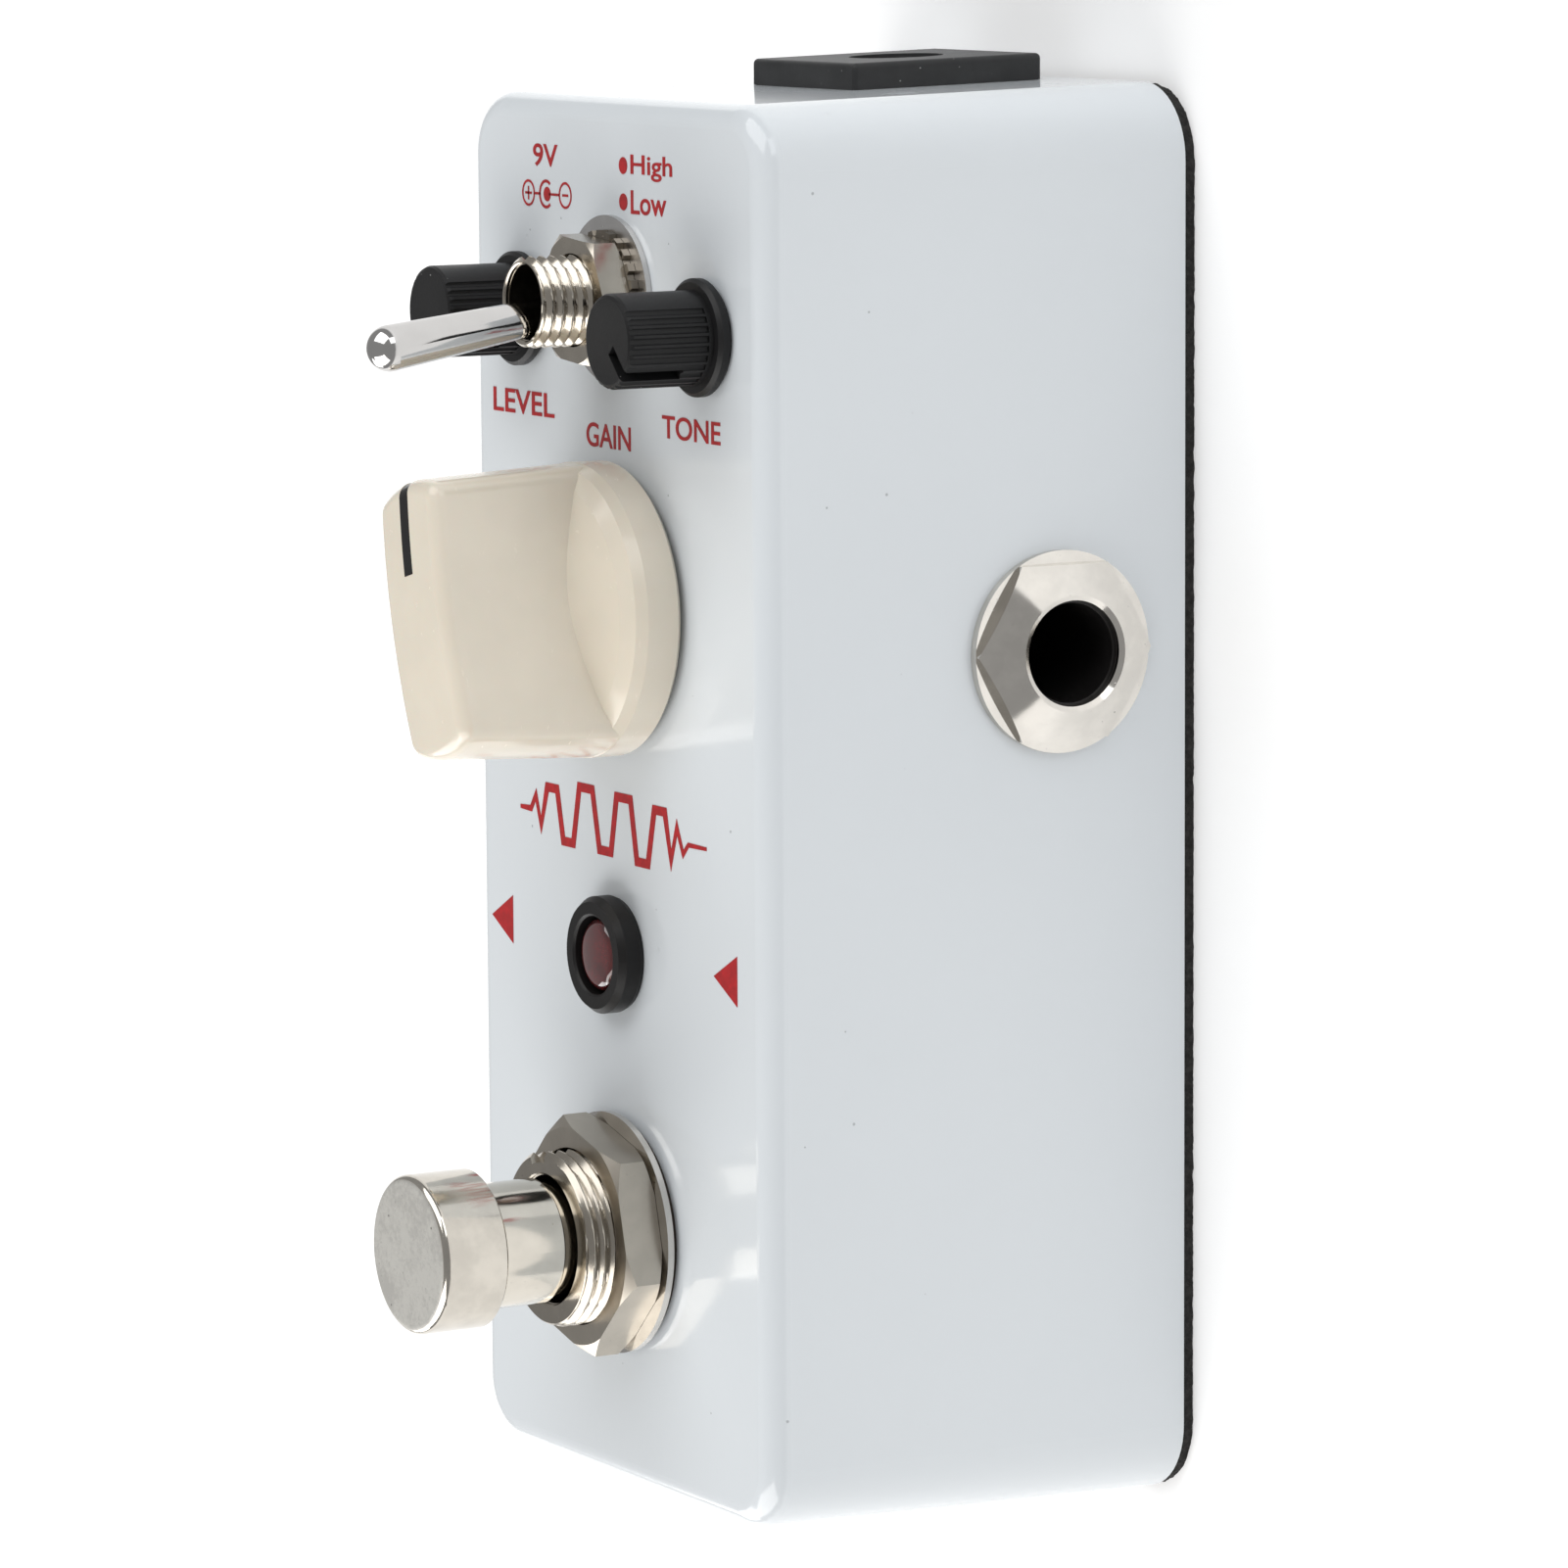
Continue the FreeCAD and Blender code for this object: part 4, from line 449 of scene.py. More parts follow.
def spun(name, centre, profile, steps=72):
    """A closed turned form; the profile runs from the low pole to the high pole as (radius, z)."""
    vertices = [(centre[0], centre[1], profile[0][1])]
    for radius, z in profile[1:-1]:
        for index in range(steps):
            angle = 2 * math.pi * index / steps
            vertices.append((centre[0] + radius * math.cos(angle),
                             centre[1] + radius * math.sin(angle), z))
    vertices.append((centre[0], centre[1], profile[-1][1]))
    last = len(vertices) - 1
    rings = len(profile) - 2
    faces = []
    for index in range(steps):
        ahead = (index + 1) % steps
        faces.append((0, 1 + ahead, 1 + index))
        for ring in range(rings - 1):
            below = 1 + ring * steps
            above = below + steps
            faces.append((below + index, below + ahead, above + ahead, above + index))
        top = 1 + (rings - 1) * steps
        faces.append((top + index, top + ahead, last))
    mesh = mesh_from(name, vertices, faces)
    sharpen(mesh, 50.0)
    return mesh


def rounded_outline(half_x, half_y, corner, spacing):
    """Points evenly spaced round a rounded rectangle, with their outward directions."""
    points = []
    runs = [(half_x - corner, half_y - corner, 0.0), (corner - half_x, half_y - corner, 90.0),
            (corner - half_x, corner - half_y, 180.0), (half_x - corner, corner - half_y, 270.0)]
    for index, (x, y, start) in enumerate(runs):
        turns = max(4, int(corner * math.pi / 2 / spacing))
        for step in range(turns):
            angle = math.radians(start + 90.0 * step / turns)
            out = Vector((math.cos(angle), math.sin(angle), 0.0))
            points.append((Vector((x, y, 0.0)) + out * corner, out))
        angle = math.radians(start + 90.0)
        out = Vector((math.cos(angle), math.sin(angle), 0.0))
        here = Vector((x, y, 0.0)) + out * corner
        following = runs[(index + 1) % 4]
        there = Vector((following[0], following[1], 0.0)) + out * corner
        count = max(2, int((there - here).length / spacing))
        for step in range(count):
            points.append((here.lerp(there, step / count), out))
    return points


def torn_sheet(name, half_x, half_y, corner, low, high, holes, hole_radius, roughness):
    """A flat sheet with round holes whose cut outer edge is rough."""
    form = bmesh.new()
    outline = rounded_outline(half_x, half_y, corner, 0.00022)
    levels = 7
    rings = []
    for level in range(levels):
        z = low + (high - low) * level / (levels - 1)
        ring = []
        for point, out in outline:
            place = Vector((point.x * 2600.0, point.y * 2600.0, z * 2600.0))
            coarse = noise.noise(place * 0.45) * 0.5 + 0.5
            fine = noise.noise(place * 1.7 + Vector((7.0, 3.0, 1.0))) * 0.5 + 0.5
            inward = roughness * (0.65 * coarse + 0.35 * fine)
            ring.append(form.verts.new((point.x - out.x * inward, point.y - out.y * inward, z)))
        rings.append(ring)
    edges_low = []
    edges_high = []
    count = len(outline)
    for level in range(levels - 1):
        for index in range(count):
            ahead = (index + 1) % count
            form.faces.new((rings[level][index], rings[level][ahead], rings[level + 1][ahead],
                            rings[level + 1][index]))
    for index in range(count):
        ahead = (index + 1) % count
        edges_low.append(form.edges.get((rings[0][index], rings[0][ahead])))
        edges_high.append(form.edges.get((rings[-1][index], rings[-1][ahead])))
    sides = 48
    for x, y in holes:
        lower = []
        upper = []
        for index in range(sides):
            angle = 2 * math.pi * index / sides
            px = x + hole_radius * math.cos(angle)
            py = y + hole_radius * math.sin(angle)
            lower.append(form.verts.new((px, py, low)))
            upper.append(form.verts.new((px, py, high)))
        for index in range(sides):
            ahead = (index + 1) % sides
            form.faces.new((lower[ahead], lower[index], upper[index], upper[ahead]))
            edges_low.append(form.edges.get((lower[index], lower[ahead])))
            edges_high.append(form.edges.get((upper[index], upper[ahead])))
    for edges in (edges_low, edges_high):
        bmesh.ops.triangle_fill(form, use_beauty=True, use_dissolve=False, edges=edges)
    bmesh.ops.recalc_face_normals(form, faces=form.faces[:])
    mesh = bpy.data.meshes.new(name)
    form.to_mesh(mesh)
    form.free()
    return mesh


def flat_prints(name, outlines, low, high):
    """Closed slabs from flat outlines, given as lists of (x, y) corners."""
    form = bmesh.new()
    for outline in outlines:
        base = [form.verts.new((x, y, low)) for x, y in outline]
        top = [form.verts.new((x, y, high)) for x, y in outline]
        form.faces.new(top)
        form.faces.new(list(reversed(base)))
        for index in range(len(outline)):
            ahead = (index + 1) % len(outline)
            form.faces.new((base[index], base[ahead], top[ahead], top[index]))
    bmesh.ops.recalc_face_normals(form, faces=form.faces[:])
    mesh = bpy.data.meshes.new(name)
    form.to_mesh(mesh)
    form.free()
    return mesh


def stroke(points, widths):
    """Quads along a bent line with mitred corners; widths go with the points."""
    left = []
    right = []
    for index, point in enumerate(points):
        here = Vector(point)
        before = Vector(points[max(0, index - 1)])
        after = Vector(points[min(len(points) - 1, index + 1)])
        first = (here - before).normalized() if index else (after - here).normalized()
        second = (after - here).normalized() if index < len(points) - 1 else first
        middle = (first + second).normalized()
        normal = Vector((-middle.y, middle.x))
        spread = max(0.35, abs(middle.dot(first)))
        half = widths[index] / 2 / spread
        left.append(here + normal * half)
        right.append(here - normal * half)
    return [[tuple(left[i]), tuple(right[i]), tuple(right[i + 1]), tuple(left[i + 1])]
            for i in range(len(points) - 1)]


def annulus(x, y, radius, width, start=0.0, end=360.0, steps=40):
    """Quads round a ring or part of one."""
    outlines = []
    for index in range(steps):
        a = math.radians(start + (end - start) * index / steps)
        b = math.radians(start + (end - start) * (index + 1) / steps)
        inner = radius - width / 2
        outer = radius + width / 2
        outlines.append([(x + inner * math.cos(a), y + inner * math.sin(a)),
                         (x + outer * math.cos(a), y + outer * math.sin(a)),
                         (x + outer * math.cos(b), y + outer * math.sin(b)),
                         (x + inner * math.cos(b), y + inner * math.sin(b))])
    return outlines


def disc(x, y, radius, steps=36):
    return [[(x + radius * math.cos(2 * math.pi * i / steps),
              y + radius * math.sin(2 * math.pi * i / steps)) for i in range(steps)]]


def bar(x0, y0, x1, y1):
    return [[(x0, y0), (x1, y0), (x1, y1), (x0, y1)]]


def lettering(name, words, box, low, high):
    """A flat word fitted to a box of (x0, y0, x1, y1)."""
    curve = bpy.data.curves.new(name, "FONT")
    curve.body = words
    curve.extrude = 0.02
    curve.resolution_u = 6
    curve.offset = 0.012
    writer = bpy.data.objects.new(name + "_writer", curve)
    bpy.context.scene.collection.objects.link(writer)
    bpy.context.view_layer.update()
    graph = bpy.context.evaluated_depsgraph_get()
    mesh = bpy.data.meshes.new_from_object(writer.evaluated_get(graph))
    bpy.data.objects.remove(writer)
    bpy.data.curves.remove(curve)
    mesh.name = name
    xs = [v.co.x for v in mesh.vertices]
    ys = [v.co.y for v in mesh.vertices]
    zs = [v.co.z for v in mesh.vertices]
    for vertex in mesh.vertices:
        across = (vertex.co.x - min(xs)) / (max(xs) - min(xs))
        along = (vertex.co.y - min(ys)) / (max(ys) - min(ys))
        rise = (vertex.co.z - min(zs)) / (max(zs) - min(zs))
        vertex.co = (box[0] + (box[2] - box[0]) * across, box[1] + (box[3] - box[1]) * along,
                     low + (high - low) * rise)
    return mesh


# ---------------------------------------------------------------- settings

class PedalColours(bpy.types.PropertyGroup):
    """Colours of the pedal's finishes."""

    paint: FloatVectorProperty(name="Paint", description="Colour of the cast box's enamel",
                               default=(0.655, 0.690, 0.718), subtype="COLOR", min=0.0, max=1.0)
    red: FloatVectorProperty(name="Print", description="Colour of the printed marks",
                             default=(0.40, 0.005, 0.008), subtype="COLOR", min=0.0, max=1.0)
    cream: FloatVectorProperty(name="Large knob", description="Colour of the large knob",
                               default=(0.72, 0.655, 0.545), subtype="COLOR", min=0.0, max=1.0)
    black: FloatVectorProperty(name="Black mouldings", description="Colour of the black plastic",
                               default=(0.009, 0.009, 0.0095), subtype="COLOR", min=0.0, max=1.0)
    plating: FloatVectorProperty(name="Plating", description="Colour of the nickel plating",
                                 default=(0.60, 0.55, 0.475), subtype="COLOR", min=0.0, max=1.0)
    lamp: FloatVectorProperty(name="Lamp", description="Colour of the unlit lamp",
                              default=(0.075, 0.004, 0.005), subtype="COLOR", min=0.0, max=1.0)


class PedalSizes(bpy.types.PropertyGroup):
    """Fine dimensions that only the looks need."""

    print_height: FloatProperty(name="Print thickness", description="How far the ink stands proud",
                                default=0.03 * MM, unit="LENGTH")
    toggle_pitch: FloatProperty(name="Toggle thread pitch", description="Rise of one thread turn",
                                default=0.75 * MM, unit="LENGTH")
    foot_pitch: FloatProperty(name="Foot switch thread pitch",
                              description="Rise of one thread turn",
                              default=0.75 * MM, unit="LENGTH")
    torn_edge: FloatProperty(name="Pad edge roughness", description="Depth of the pad's rough edge",
                             default=0.30 * MM, unit="LENGTH")


def settings():
    scene = bpy.context.scene
    return scene.pedal_sizes, scene.pedal_colours


# ---------------------------------------------------------------- operators

class PEDAL_OT_enclosure(bpy.types.Operator):
    """Paint the cast box, its plate and its screws"""
    bl_idname = "pedal.enclosure"
    bl_label = "Enclosure and base"

    def execute(self, context):
        sizes, colours = settings()
        wear("enclosure", enamel(colours.paint))
        wear("base_plate", plated_sheet((0.55, 0.55, 0.56)))
        wear("base_screws", plain("blackened_screws", (0.05, 0.05, 0.052), 0.35, 1.0, 1500.0))
        low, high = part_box("rubber_pad")
        screws_low, screws_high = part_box("base_screws")
        head = 2.7 * MM
        spots = [(x, y) for x in (screws_low.x + head, screws_high.x - head)
                 for y in (screws_low.y + head, screws_high.y - head)]
        mesh = torn_sheet("rubber_sheet", high.x, high.y, 5.0 * MM, low.z, high.z, spots, 3.2 * MM,
                          sizes.torn_edge)
        pad = new_piece("rubber_sheet", mesh, torn_rubber((0.022, 0.021, 0.020)), "housing",
                        False)
        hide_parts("rubber_pad")
        return {"FINISHED"}


class PEDAL_OT_prints(bpy.types.Operator):
    """Print the generic marks on the control face"""
    bl_idname = "pedal.prints"
    bl_label = "Printed marks"

    def execute(self, context):
        sizes, colours = settings()
        material = ink(colours.red)
        low = FACE + 0.004 * MM
        high = FACE + sizes.print_height

        def lay(name, outlines):
            scaled = [[(x * MM, y * MM) for x, y in outline] for outline in outlines]
            new_piece(name, flat_prints(name, scaled, low, high), material, "housing",
                      False)

        def write(name, words, box):
            mesh = lettering(name, words, [value * MM for value in box], low, high)
            new_piece(name, mesh, material, "housing", False)

        write("print_supply", "9V", (-10.6, 41.2, -7.2, 42.7))
        marks = annulus(-11.3, 39.4, 0.80, 0.16) + annulus(-6.2, 39.4, 0.80, 0.16)
        marks += bar(-11.75, 39.32, -10.85, 39.48) + bar(-11.38, 38.95, -11.22, 39.85)
        marks += bar(-6.6, 39.32, -5.8, 39.48)
        marks += annulus(-8.85, 39.4, 0.86, 0.20, 50.0, 310.0) + disc(-8.7, 39.4, 0.48)
        marks += bar(-10.5, 39.32, -9.6, 39.48) + bar(-8.4, 39.32, -7.0, 39.48)
        lay("print_polarity", marks)
        lay("print_bullets", disc(1.7, 41.65, 0.55) + disc(1.7, 39.3, 0.55))
        write("print_high", "High", (2.7, 40.75, 8.2, 42.4))
        write("print_low", "Low", (2.7, 38.55, 7.4, 40.1))
        write("print_level", "LEVEL", (-16.6, 24.6, -8.0, 26.2))
        write("print_gain", "GAIN", (-3.6, 23.1, 2.4, 24.7))
        write("print_tone", "TONE", (6.6, 24.3, 14.2, 25.8))
        lay("print_arrow_left", [[(-17.65, -9.8), (-14.65, -11.45), (-14.65, -8.15)]])
        lay("print_arrow_right", [[(12.8, -10.05), (15.85, -11.7), (15.85, -8.4)]])
        wave = [(-13.4, -1.9), (-11.9, -1.9), (-11.2, -0.9), (-10.5, -2.9), (-9.6, -0.2),
                (-8.2, -0.2), (-7.4, -3.6), (-6.0, -3.6), (-5.1, 0.3), (-3.3, 0.3), (-2.4, -3.6), (-0.8, -3.6),
                (0.0, 0.2), (1.9, 0.2), (2.7, -3.8), (4.2, -3.8), (5.1, -0.1), (6.5, -0.1),
                (7.3, -3.2), (8.1, -0.9), (8.9, -2.6), (9.6, -1.9), (12.0, -1.9)]
        wide = [0.28] + [0.42] * 3 + [0.62] * 14 + [0.5, 0.42, 0.36, 0.32, 0.24]
        lay("print_waveform", stroke(wave, wide))
        return {"FINISHED"}


class PEDAL_OT_toggle(bpy.types.Operator):
    """Finish the toggle switch and cut its thread"""
    bl_idname = "pedal.toggle"
    bl_label = "Toggle switch"

    def execute(self, context):
        sizes, colours = settings()
        plating = nickel("toggle_plating", shade(colours.plating, 0.82), 0.15, 0.5, 0.5)
        low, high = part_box("toggle_bushing")
        centre = ((low.x + high.x) / 2, (low.y + high.y) / 2)
        mesh = threaded_tube("toggle_thread", centre,
                             (low.z + 0.8 * MM, FACE + 1.1 * MM, high.z),
                             (3.0 * MM, 2.45 * MM, 2.5 * MM, 0.3 * MM),
                             (sizes.toggle_pitch, 0.33 * MM),
                             (96.0, 1.0 * MM, 0.32 * MM))
        tube = new_piece("toggle_thread", mesh, plating, "housing")
        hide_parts("toggle_bushing")
        wear("toggle_nut",
             nickel("toggle_nut_plating", shade(colours.plating, 0.82), 0.17, 0.4, 0.7))
        wear("toggle_washer", nickel("toggle_washer_plating", (0.62, 0.61, 0.60), 0.22, 0.6, 0.8))
        # The lock washer's plating gets a near-black brown colour: painted shade for the shadow that the nut
        # casts on its teeth.
        wear("toggle_lock_washer",
             nickel("toggle_tooth_painted_shade", (0.26, 0.235, 0.20), 0.28, 0.6, 0.6))
        wear("toggle_lever", chrome((0.58, 0.57, 0.56)))
        return {"FINISHED"}


class PEDAL_OT_footswitch(bpy.types.Operator):
    """Finish the foot switch and cut its thread"""
    bl_idname = "pedal.footswitch"
    bl_label = "Foot switch"

    def execute(self, context):
        sizes, colours = settings()
        plating = nickel("foot_plating", shade(colours.plating, 0.72), 0.18, 0.5, 0.4)
        low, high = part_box("footswitch_bushing")
        stem_low, stem_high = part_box("footswitch_stem")
        centre = ((stem_low.x + stem_high.x) / 2, (stem_low.y + stem_high.y) / 2)
        mesh = threaded_tube("footswitch_thread", centre,
                             (low.z + 0.8 * MM, FACE + 1.0 * MM, high.z),
                             (5.85 * MM, 4.27 * MM, 4.32 * MM, 0.3 * MM),
                             (sizes.foot_pitch, 0.36 * MM),
                             (101.0, 2.0 * MM, 0.75 * MM))
        tube = new_piece("footswitch_thread", mesh, plating, "housing")
        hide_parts("footswitch_bushing")
        wear("footswitch_nut",
             nickel("foot_nut_plating", shade(colours.plating, 0.78), 0.30, 0.5, 0.8))
        wear("footswitch_washer", nickel("foot_washer_plating", (0.62, 0.60, 0.57), 0.2, 0.4, 0.8))
        wear("footswitch_stem", nickel("foot_stem_plating", (0.62, 0.585, 0.52), 0.10, 0.3, 0.5))
        wear("footswitch_cap", cap_metal((0.60, 0.565, 0.505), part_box("footswitch_cap")[1].z))
        wire = plain("spring_wire", (0.50, 0.50, 0.50), 0.25, 1.0, 1200.0)
        wear("footswitch_spring", wire)
        low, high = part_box("footswitch_spring")
        coil = new_piece("footswitch_coil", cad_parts["footswitch_spring"].data.copy(), wire,
                         "housing")
        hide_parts("footswitch_spring")
        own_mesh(coil)
        return {"FINISHED"}


class PEDAL_OT_knobs(bpy.types.Operator):
    """Finish the large knob and the two small ones"""
    bl_idname = "pedal.knobs"
    bl_label = "Knobs"

    def execute(self, context):
        colours = settings()[1]
        wear("dist_knob", cream_plastic(colours.cream))
        wear("dist_knob_mark", black_plastic("black_inlay", (0.006, 0.006, 0.006), 0.22, 0.1))
        small = black_plastic("small_knob_black", colours.black, 0.42, 0.85)
        for name in ("volume_knob", "contour_knob"):
            wear(name, small)
        return {"FINISHED"}


class PEDAL_OT_sockets(bpy.types.Operator):
    """Finish the plug sockets and the power socket"""
    bl_idname = "pedal.sockets"
    bl_label = "Sockets"

    def execute(self, context):
        colours = settings()[1]
        wear("power_socket_body",
             black_plastic("power_socket_black", (0.027, 0.0275, 0.0285), 0.44, 0.9))
        wear("power_socket_pin", nickel("power_pin_plating", colours.plating, 0.16, 0.3, 0.3))
        nut = nickel("jack_nut_plating", (0.74, 0.71, 0.66), 0.09, 0.35, 0.15)
        lining = black_plastic("jack_lining", (0.012, 0.011, 0.011), 0.30, 0.1)
        for prefix in ("input_jack", "output_jack"):
            wear(prefix + "_nut", nut)
            wear(prefix + "_bushing", lining)
            wear(prefix + "_body", lining)
        return {"FINISHED"}


class PEDAL_OT_lamp(bpy.types.Operator):
    """Finish the lamp and its bezel"""
    bl_idname = "pedal.lamp"
    bl_label = "Lamp"

    def execute(self, context):
        colours = settings()[1]
        wear("led_bezel", black_plastic("bezel_black", (0.008, 0.0075, 0.0075), 0.42, 0.35))
        epoxy = tinted_lens(colours.lamp)
        wear("led_lens", epoxy)
        low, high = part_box("led_lens")
        centre = ((low.x + high.x) / 2, (low.y + high.y) / 2)
        rim = (high.x - low.x) / 2 - 0.02 * MM
        round_off = 0.85 * MM
        profile = [(0.0, low.z), (rim, low.z), (rim, high.z - round_off - 0.12 * MM)]
        for index in range(1, 11):
            angle = math.radians(8.1 * index)
            profile.append((rim - round_off * (1.0 - math.cos(angle)),
                            high.z - 0.12 * MM - round_off * (1.0 - math.sin(angle))))
        edge = profile[-1]
        for index in range(1, 7):
            share = index / 7
            rise = (high.z - edge[1]) * (1.0 - (1.0 - share) ** 2)
            profile.append((edge[0] * (1.0 - share), edge[1] + rise))
        profile.append((0.0, high.z))
        lens = new_piece("lamp_lens", spun("lamp_lens", centre, profile), epoxy, "housing")
        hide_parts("led_lens")
        return {"FINISHED"}


INSIDE = {
    "main_board": ("board_green", (0.01, 0.09, 0.03), 0.35, 0.0),
    "electrolytic_capacitors": ("can_sleeve", (0.010, 0.012, 0.05), 0.30, 0.0),
    "film_capacitors": ("film_dip", (0.33, 0.03, 0.015), 0.25, 0.0),
    "amplifier_chips": ("chip_epoxy", (0.012, 0.012, 0.012), 0.55, 0.0),
    "chip_leads": ("tinned_leads", (0.62, 0.62, 0.62), 0.30, 1.0),
    "resistors": ("resistor_body", (0.02, 0.02, 0.025), 0.45, 0.0),
    "led_leads": ("lamp_leads", (0.62, 0.62, 0.62), 0.30, 1.0),
    "footswitch_insulator": ("fibre_insulator", (0.028, 0.017, 0.011), 0.70, 0.0),
    "dist_pot_can": ("pot_can", (0.50, 0.50, 0.49), 0.32, 1.0),
    "dist_pot_bushing": ("pot_bushing", (0.66, 0.62, 0.52), 0.30, 1.0),
    "dist_pot_nut": ("pot_nut", (0.64, 0.61, 0.56), 0.22, 1.0),
    "dist_pot_pins": ("pot_pins", (0.62, 0.62, 0.62), 0.30, 1.0),
    "dist_shaft": ("turned_shaft", (0.60, 0.60, 0.61), 0.28, 1.0),
    "volume_pot_housing": ("small_pot_moulding", (0.02, 0.02, 0.02), 0.50, 0.0),
    "volume_pot_pins": ("small_pot_pins", (0.62, 0.62, 0.62), 0.30, 1.0),
    "volume_shaft": ("nylon_shaft", (0.05, 0.05, 0.05), 0.45, 0.0),
    "contour_pot_housing": ("small_pot_moulding_b", (0.02, 0.02, 0.02), 0.50, 0.0),
    "contour_pot_pins": ("small_pot_pins_b", (0.62, 0.62, 0.62), 0.30, 1.0),
    "contour_shaft": ("nylon_shaft_b", (0.05, 0.05, 0.05), 0.45, 0.0),
    "footswitch_case": ("switch_phenolic", (0.01, 0.04, 0.20), 0.40, 0.0),
    "footswitch_inner_nut": ("inner_nut", (0.64, 0.61, 0.56), 0.22, 1.0),
    "footswitch_lugs": ("silvered_lugs", (0.68, 0.66, 0.58), 0.28, 1.0),
    "toggle_case": ("toggle_phenolic", (0.16, 0.012, 0.010), 0.40, 0.0),
    "toggle_lugs": ("toggle_silvered_lugs", (0.68, 0.66, 0.58), 0.28, 1.0),
    "toggle_rocker": ("rocker_contact", (0.70, 0.60, 0.40), 0.28, 1.0),
    "wiring": ("wire_insulation", (0.30, 0.01, 0.01), 0.45, 0.0),
    "power_socket_contacts": ("spring_bronze", (0.62, 0.44, 0.20), 0.30, 1.0),
    "input_jack_tip_spring": ("tip_bronze", (0.62, 0.44, 0.20), 0.30, 1.0),
    "input_jack_sleeve_lug": ("sleeve_brass", (0.62, 0.50, 0.26), 0.30, 1.0),
    "output_jack_tip_spring": ("tip_bronze_b", (0.62, 0.44, 0.20), 0.30, 1.0),
    "output_jack_sleeve_lug": ("sleeve_brass_b", (0.62, 0.50, 0.26), 0.30, 1.0),
}


class PEDAL_OT_insides(bpy.types.Operator):
    """Finish the parts inside the box"""
    bl_idname = "pedal.insides"
    bl_label = "Inside parts"

    def execute(self, context):
        for node, (name, colour, rough, metal) in INSIDE.items():
            wear(node, plain(name, colour, rough, metal, 1200.0))
        return {"FINISHED"}


LIGHT_AIM = Vector((0.0, 0.0, 0.02))

# Each light's name, place, width, height, watts and colour.
SOFTBOXES = [
    ("softbox_high", (0.02, 0.62, 0.55), 0.9, 0.6, 4.0, (0.99, 0.995, 1.0)),
    ("softbox_side", (0.55, 0.55, 0.15), 0.4, 0.3, 0.8, (0.96, 0.98, 1.0)),
    ("softbox_low", (0.02, -0.60, 0.50), 0.9, 0.6, 5.2, (1.0, 0.985, 0.965)),
    ("softbox_far", (-0.50, -0.55, 0.30), 0.4, 0.4, 1.5, (1.0, 1.0, 1.0)),
]


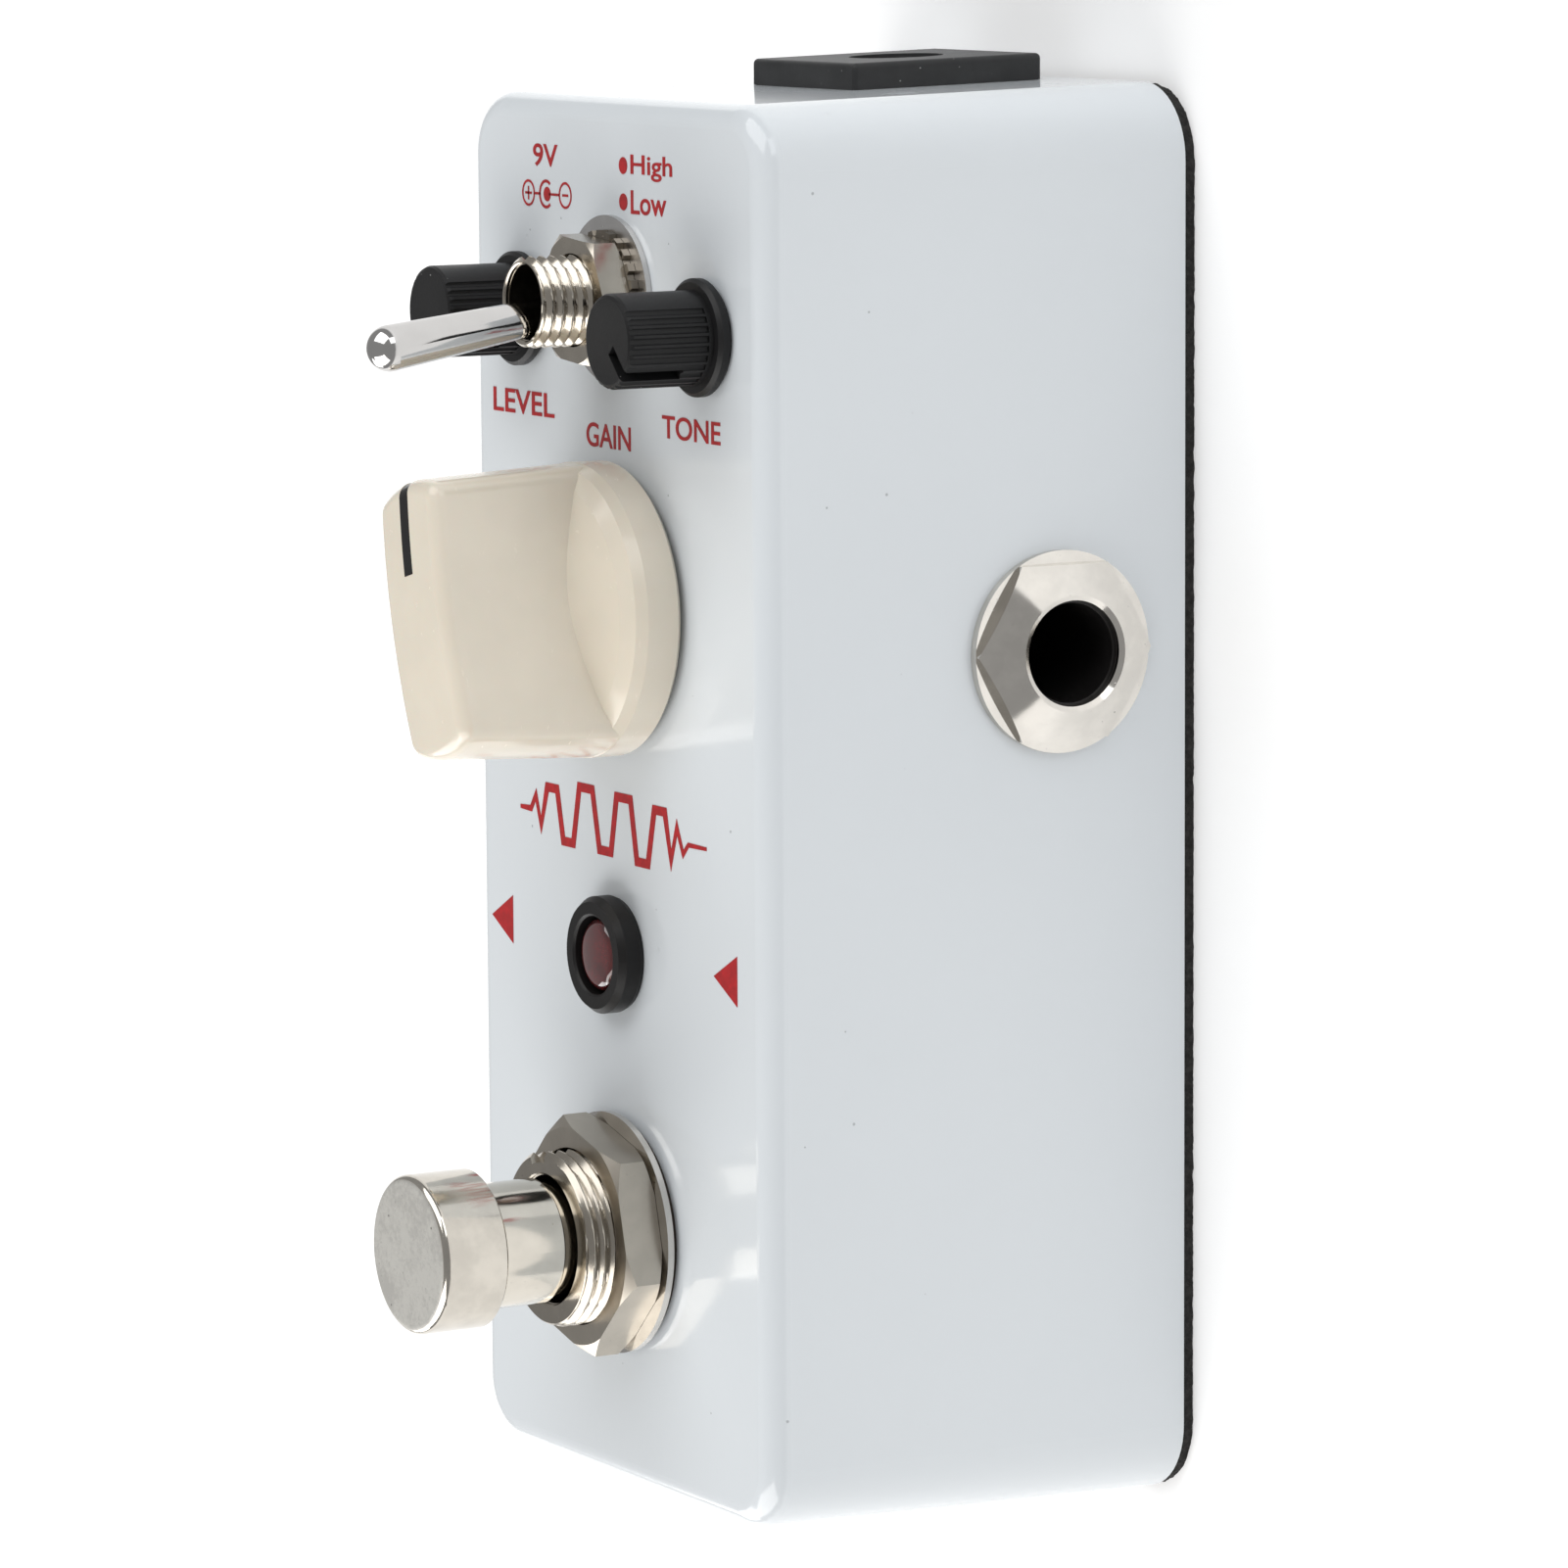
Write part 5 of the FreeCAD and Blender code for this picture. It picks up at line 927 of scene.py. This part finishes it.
class PEDAL_OT_stage(bpy.types.Operator):
    """Set the pale floor, the soft lights and the camera"""
    bl_idname = "pedal.stage"
    bl_label = "Stage"

    def surroundings(self, scene):
        """One even pale world, the same in every direction."""
        world = bpy.data.worlds.new("studio")
        scene.world = world
        world.use_nodes = True
        tree = world.node_tree
        tree.nodes.clear()
        sky = tree.nodes.new("ShaderNodeBackground")
        sky.inputs["Color"].default_value = (0.94, 0.94, 0.94, 1.0)
        sky.inputs["Strength"].default_value = 0.37
        surface = tree.nodes.new("ShaderNodeOutputWorld")
        tree.links.new(sky.outputs["Background"], surface.inputs["Surface"])

    def execute(self, context):
        scene = context.scene
        scene.view_settings.view_transform = "Standard"
        size = 6.0
        mesh = mesh_from("floor", [(-size, -size, 0), (size, -size, 0), (size, size, 0),
                                   (-size, size, 0)], [(0, 1, 2, 3)])
        floor = bpy.data.objects.new("floor", mesh)
        floor.location = (0.0, 0.0, -0.00002)
        scene.collection.objects.link(floor)
        sweep = Finish("pale_floor")
        tone = sweep.grain(3.0, 2.0)
        sweep.feed("Base Color",
                   sweep.mixed(tone, (0.84, 0.84, 0.84, 1.0), (0.86, 0.86, 0.86, 1.0)))
        sweep.fixed(Roughness=0.9, Specular_IOR_Level=0.1, Emission_Color=(1.0, 1.0, 1.0, 1.0),
                    Emission_Strength=0.18)
        mesh.materials.append(sweep.material)

        for name, place, width, height, power, colour in SOFTBOXES:
            data = bpy.data.lights.new(name, "AREA")
            data.shape = "RECTANGLE"
            data.size = width
            data.size_y = height
            data.energy = power
            data.color = colour
            lamp = bpy.data.objects.new(name, data)
            lamp.location = place
            heading = LIGHT_AIM - Vector(place)
            lamp.rotation_mode = "QUATERNION"
            lamp.rotation_quaternion = heading.to_track_quat("-Z", "Y")
            scene.collection.objects.link(lamp)

        self.surroundings(scene)

        data = bpy.data.cameras.new("camera")
        camera = bpy.data.objects.new("camera", data)
        data.sensor_width = 36.0
        data.lens = 168.3
        data.shift_x = -0.0047
        data.shift_y = 0.0497
        data.clip_start = 0.01
        data.clip_end = 20.0
        right = Vector((0.50360, -0.00618, -0.86391)).normalized()
        down = Vector((0.11731, -0.99022, 0.07547))
        forward = right.cross(down).normalized()
        up = right.cross(forward).normalized()
        turn = Matrix((right, up, -forward)).transposed().to_4x4()
        turn.translation = (0.4192, 0.0631, 0.2626)
        camera.matrix_world = turn
        scene.collection.objects.link(camera)
        scene.camera = camera
        return {"FINISHED"}


class PEDAL_PT_panel(bpy.types.Panel):
    """Lists the pedal's steps in the sidebar"""
    bl_idname = "PEDAL_PT_panel"
    bl_label = "Pedal"
    bl_space_type = "VIEW_3D"
    bl_region_type = "UI"
    bl_category = "Pedal"

    def draw(self, context):
        for step in STEPS:
            self.layout.operator(step.bl_idname)


STEPS = [PEDAL_OT_enclosure, PEDAL_OT_prints, PEDAL_OT_toggle, PEDAL_OT_footswitch, PEDAL_OT_knobs,
         PEDAL_OT_sockets, PEDAL_OT_lamp, PEDAL_OT_insides, PEDAL_OT_stage]


def register():
    for item in (PedalColours, PedalSizes, *STEPS, PEDAL_PT_panel):
        bpy.utils.register_class(item)
    bpy.types.Scene.pedal_sizes = PointerProperty(type=PedalSizes)
    bpy.types.Scene.pedal_colours = PointerProperty(type=PedalColours)


def unregister():
    del bpy.types.Scene.pedal_colours
    del bpy.types.Scene.pedal_sizes
    for item in reversed((PedalColours, PedalSizes, *STEPS, PEDAL_PT_panel)):
        bpy.utils.unregister_class(item)


def main():
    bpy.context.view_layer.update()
    register()
    bpy.ops.pedal.enclosure()
    bpy.ops.pedal.prints()
    bpy.ops.pedal.toggle()
    bpy.ops.pedal.footswitch()
    bpy.ops.pedal.knobs()
    bpy.ops.pedal.sockets()
    bpy.ops.pedal.lamp()
    bpy.ops.pedal.insides()
    bpy.ops.pedal.stage()


if __name__ == "__main__":
    main()
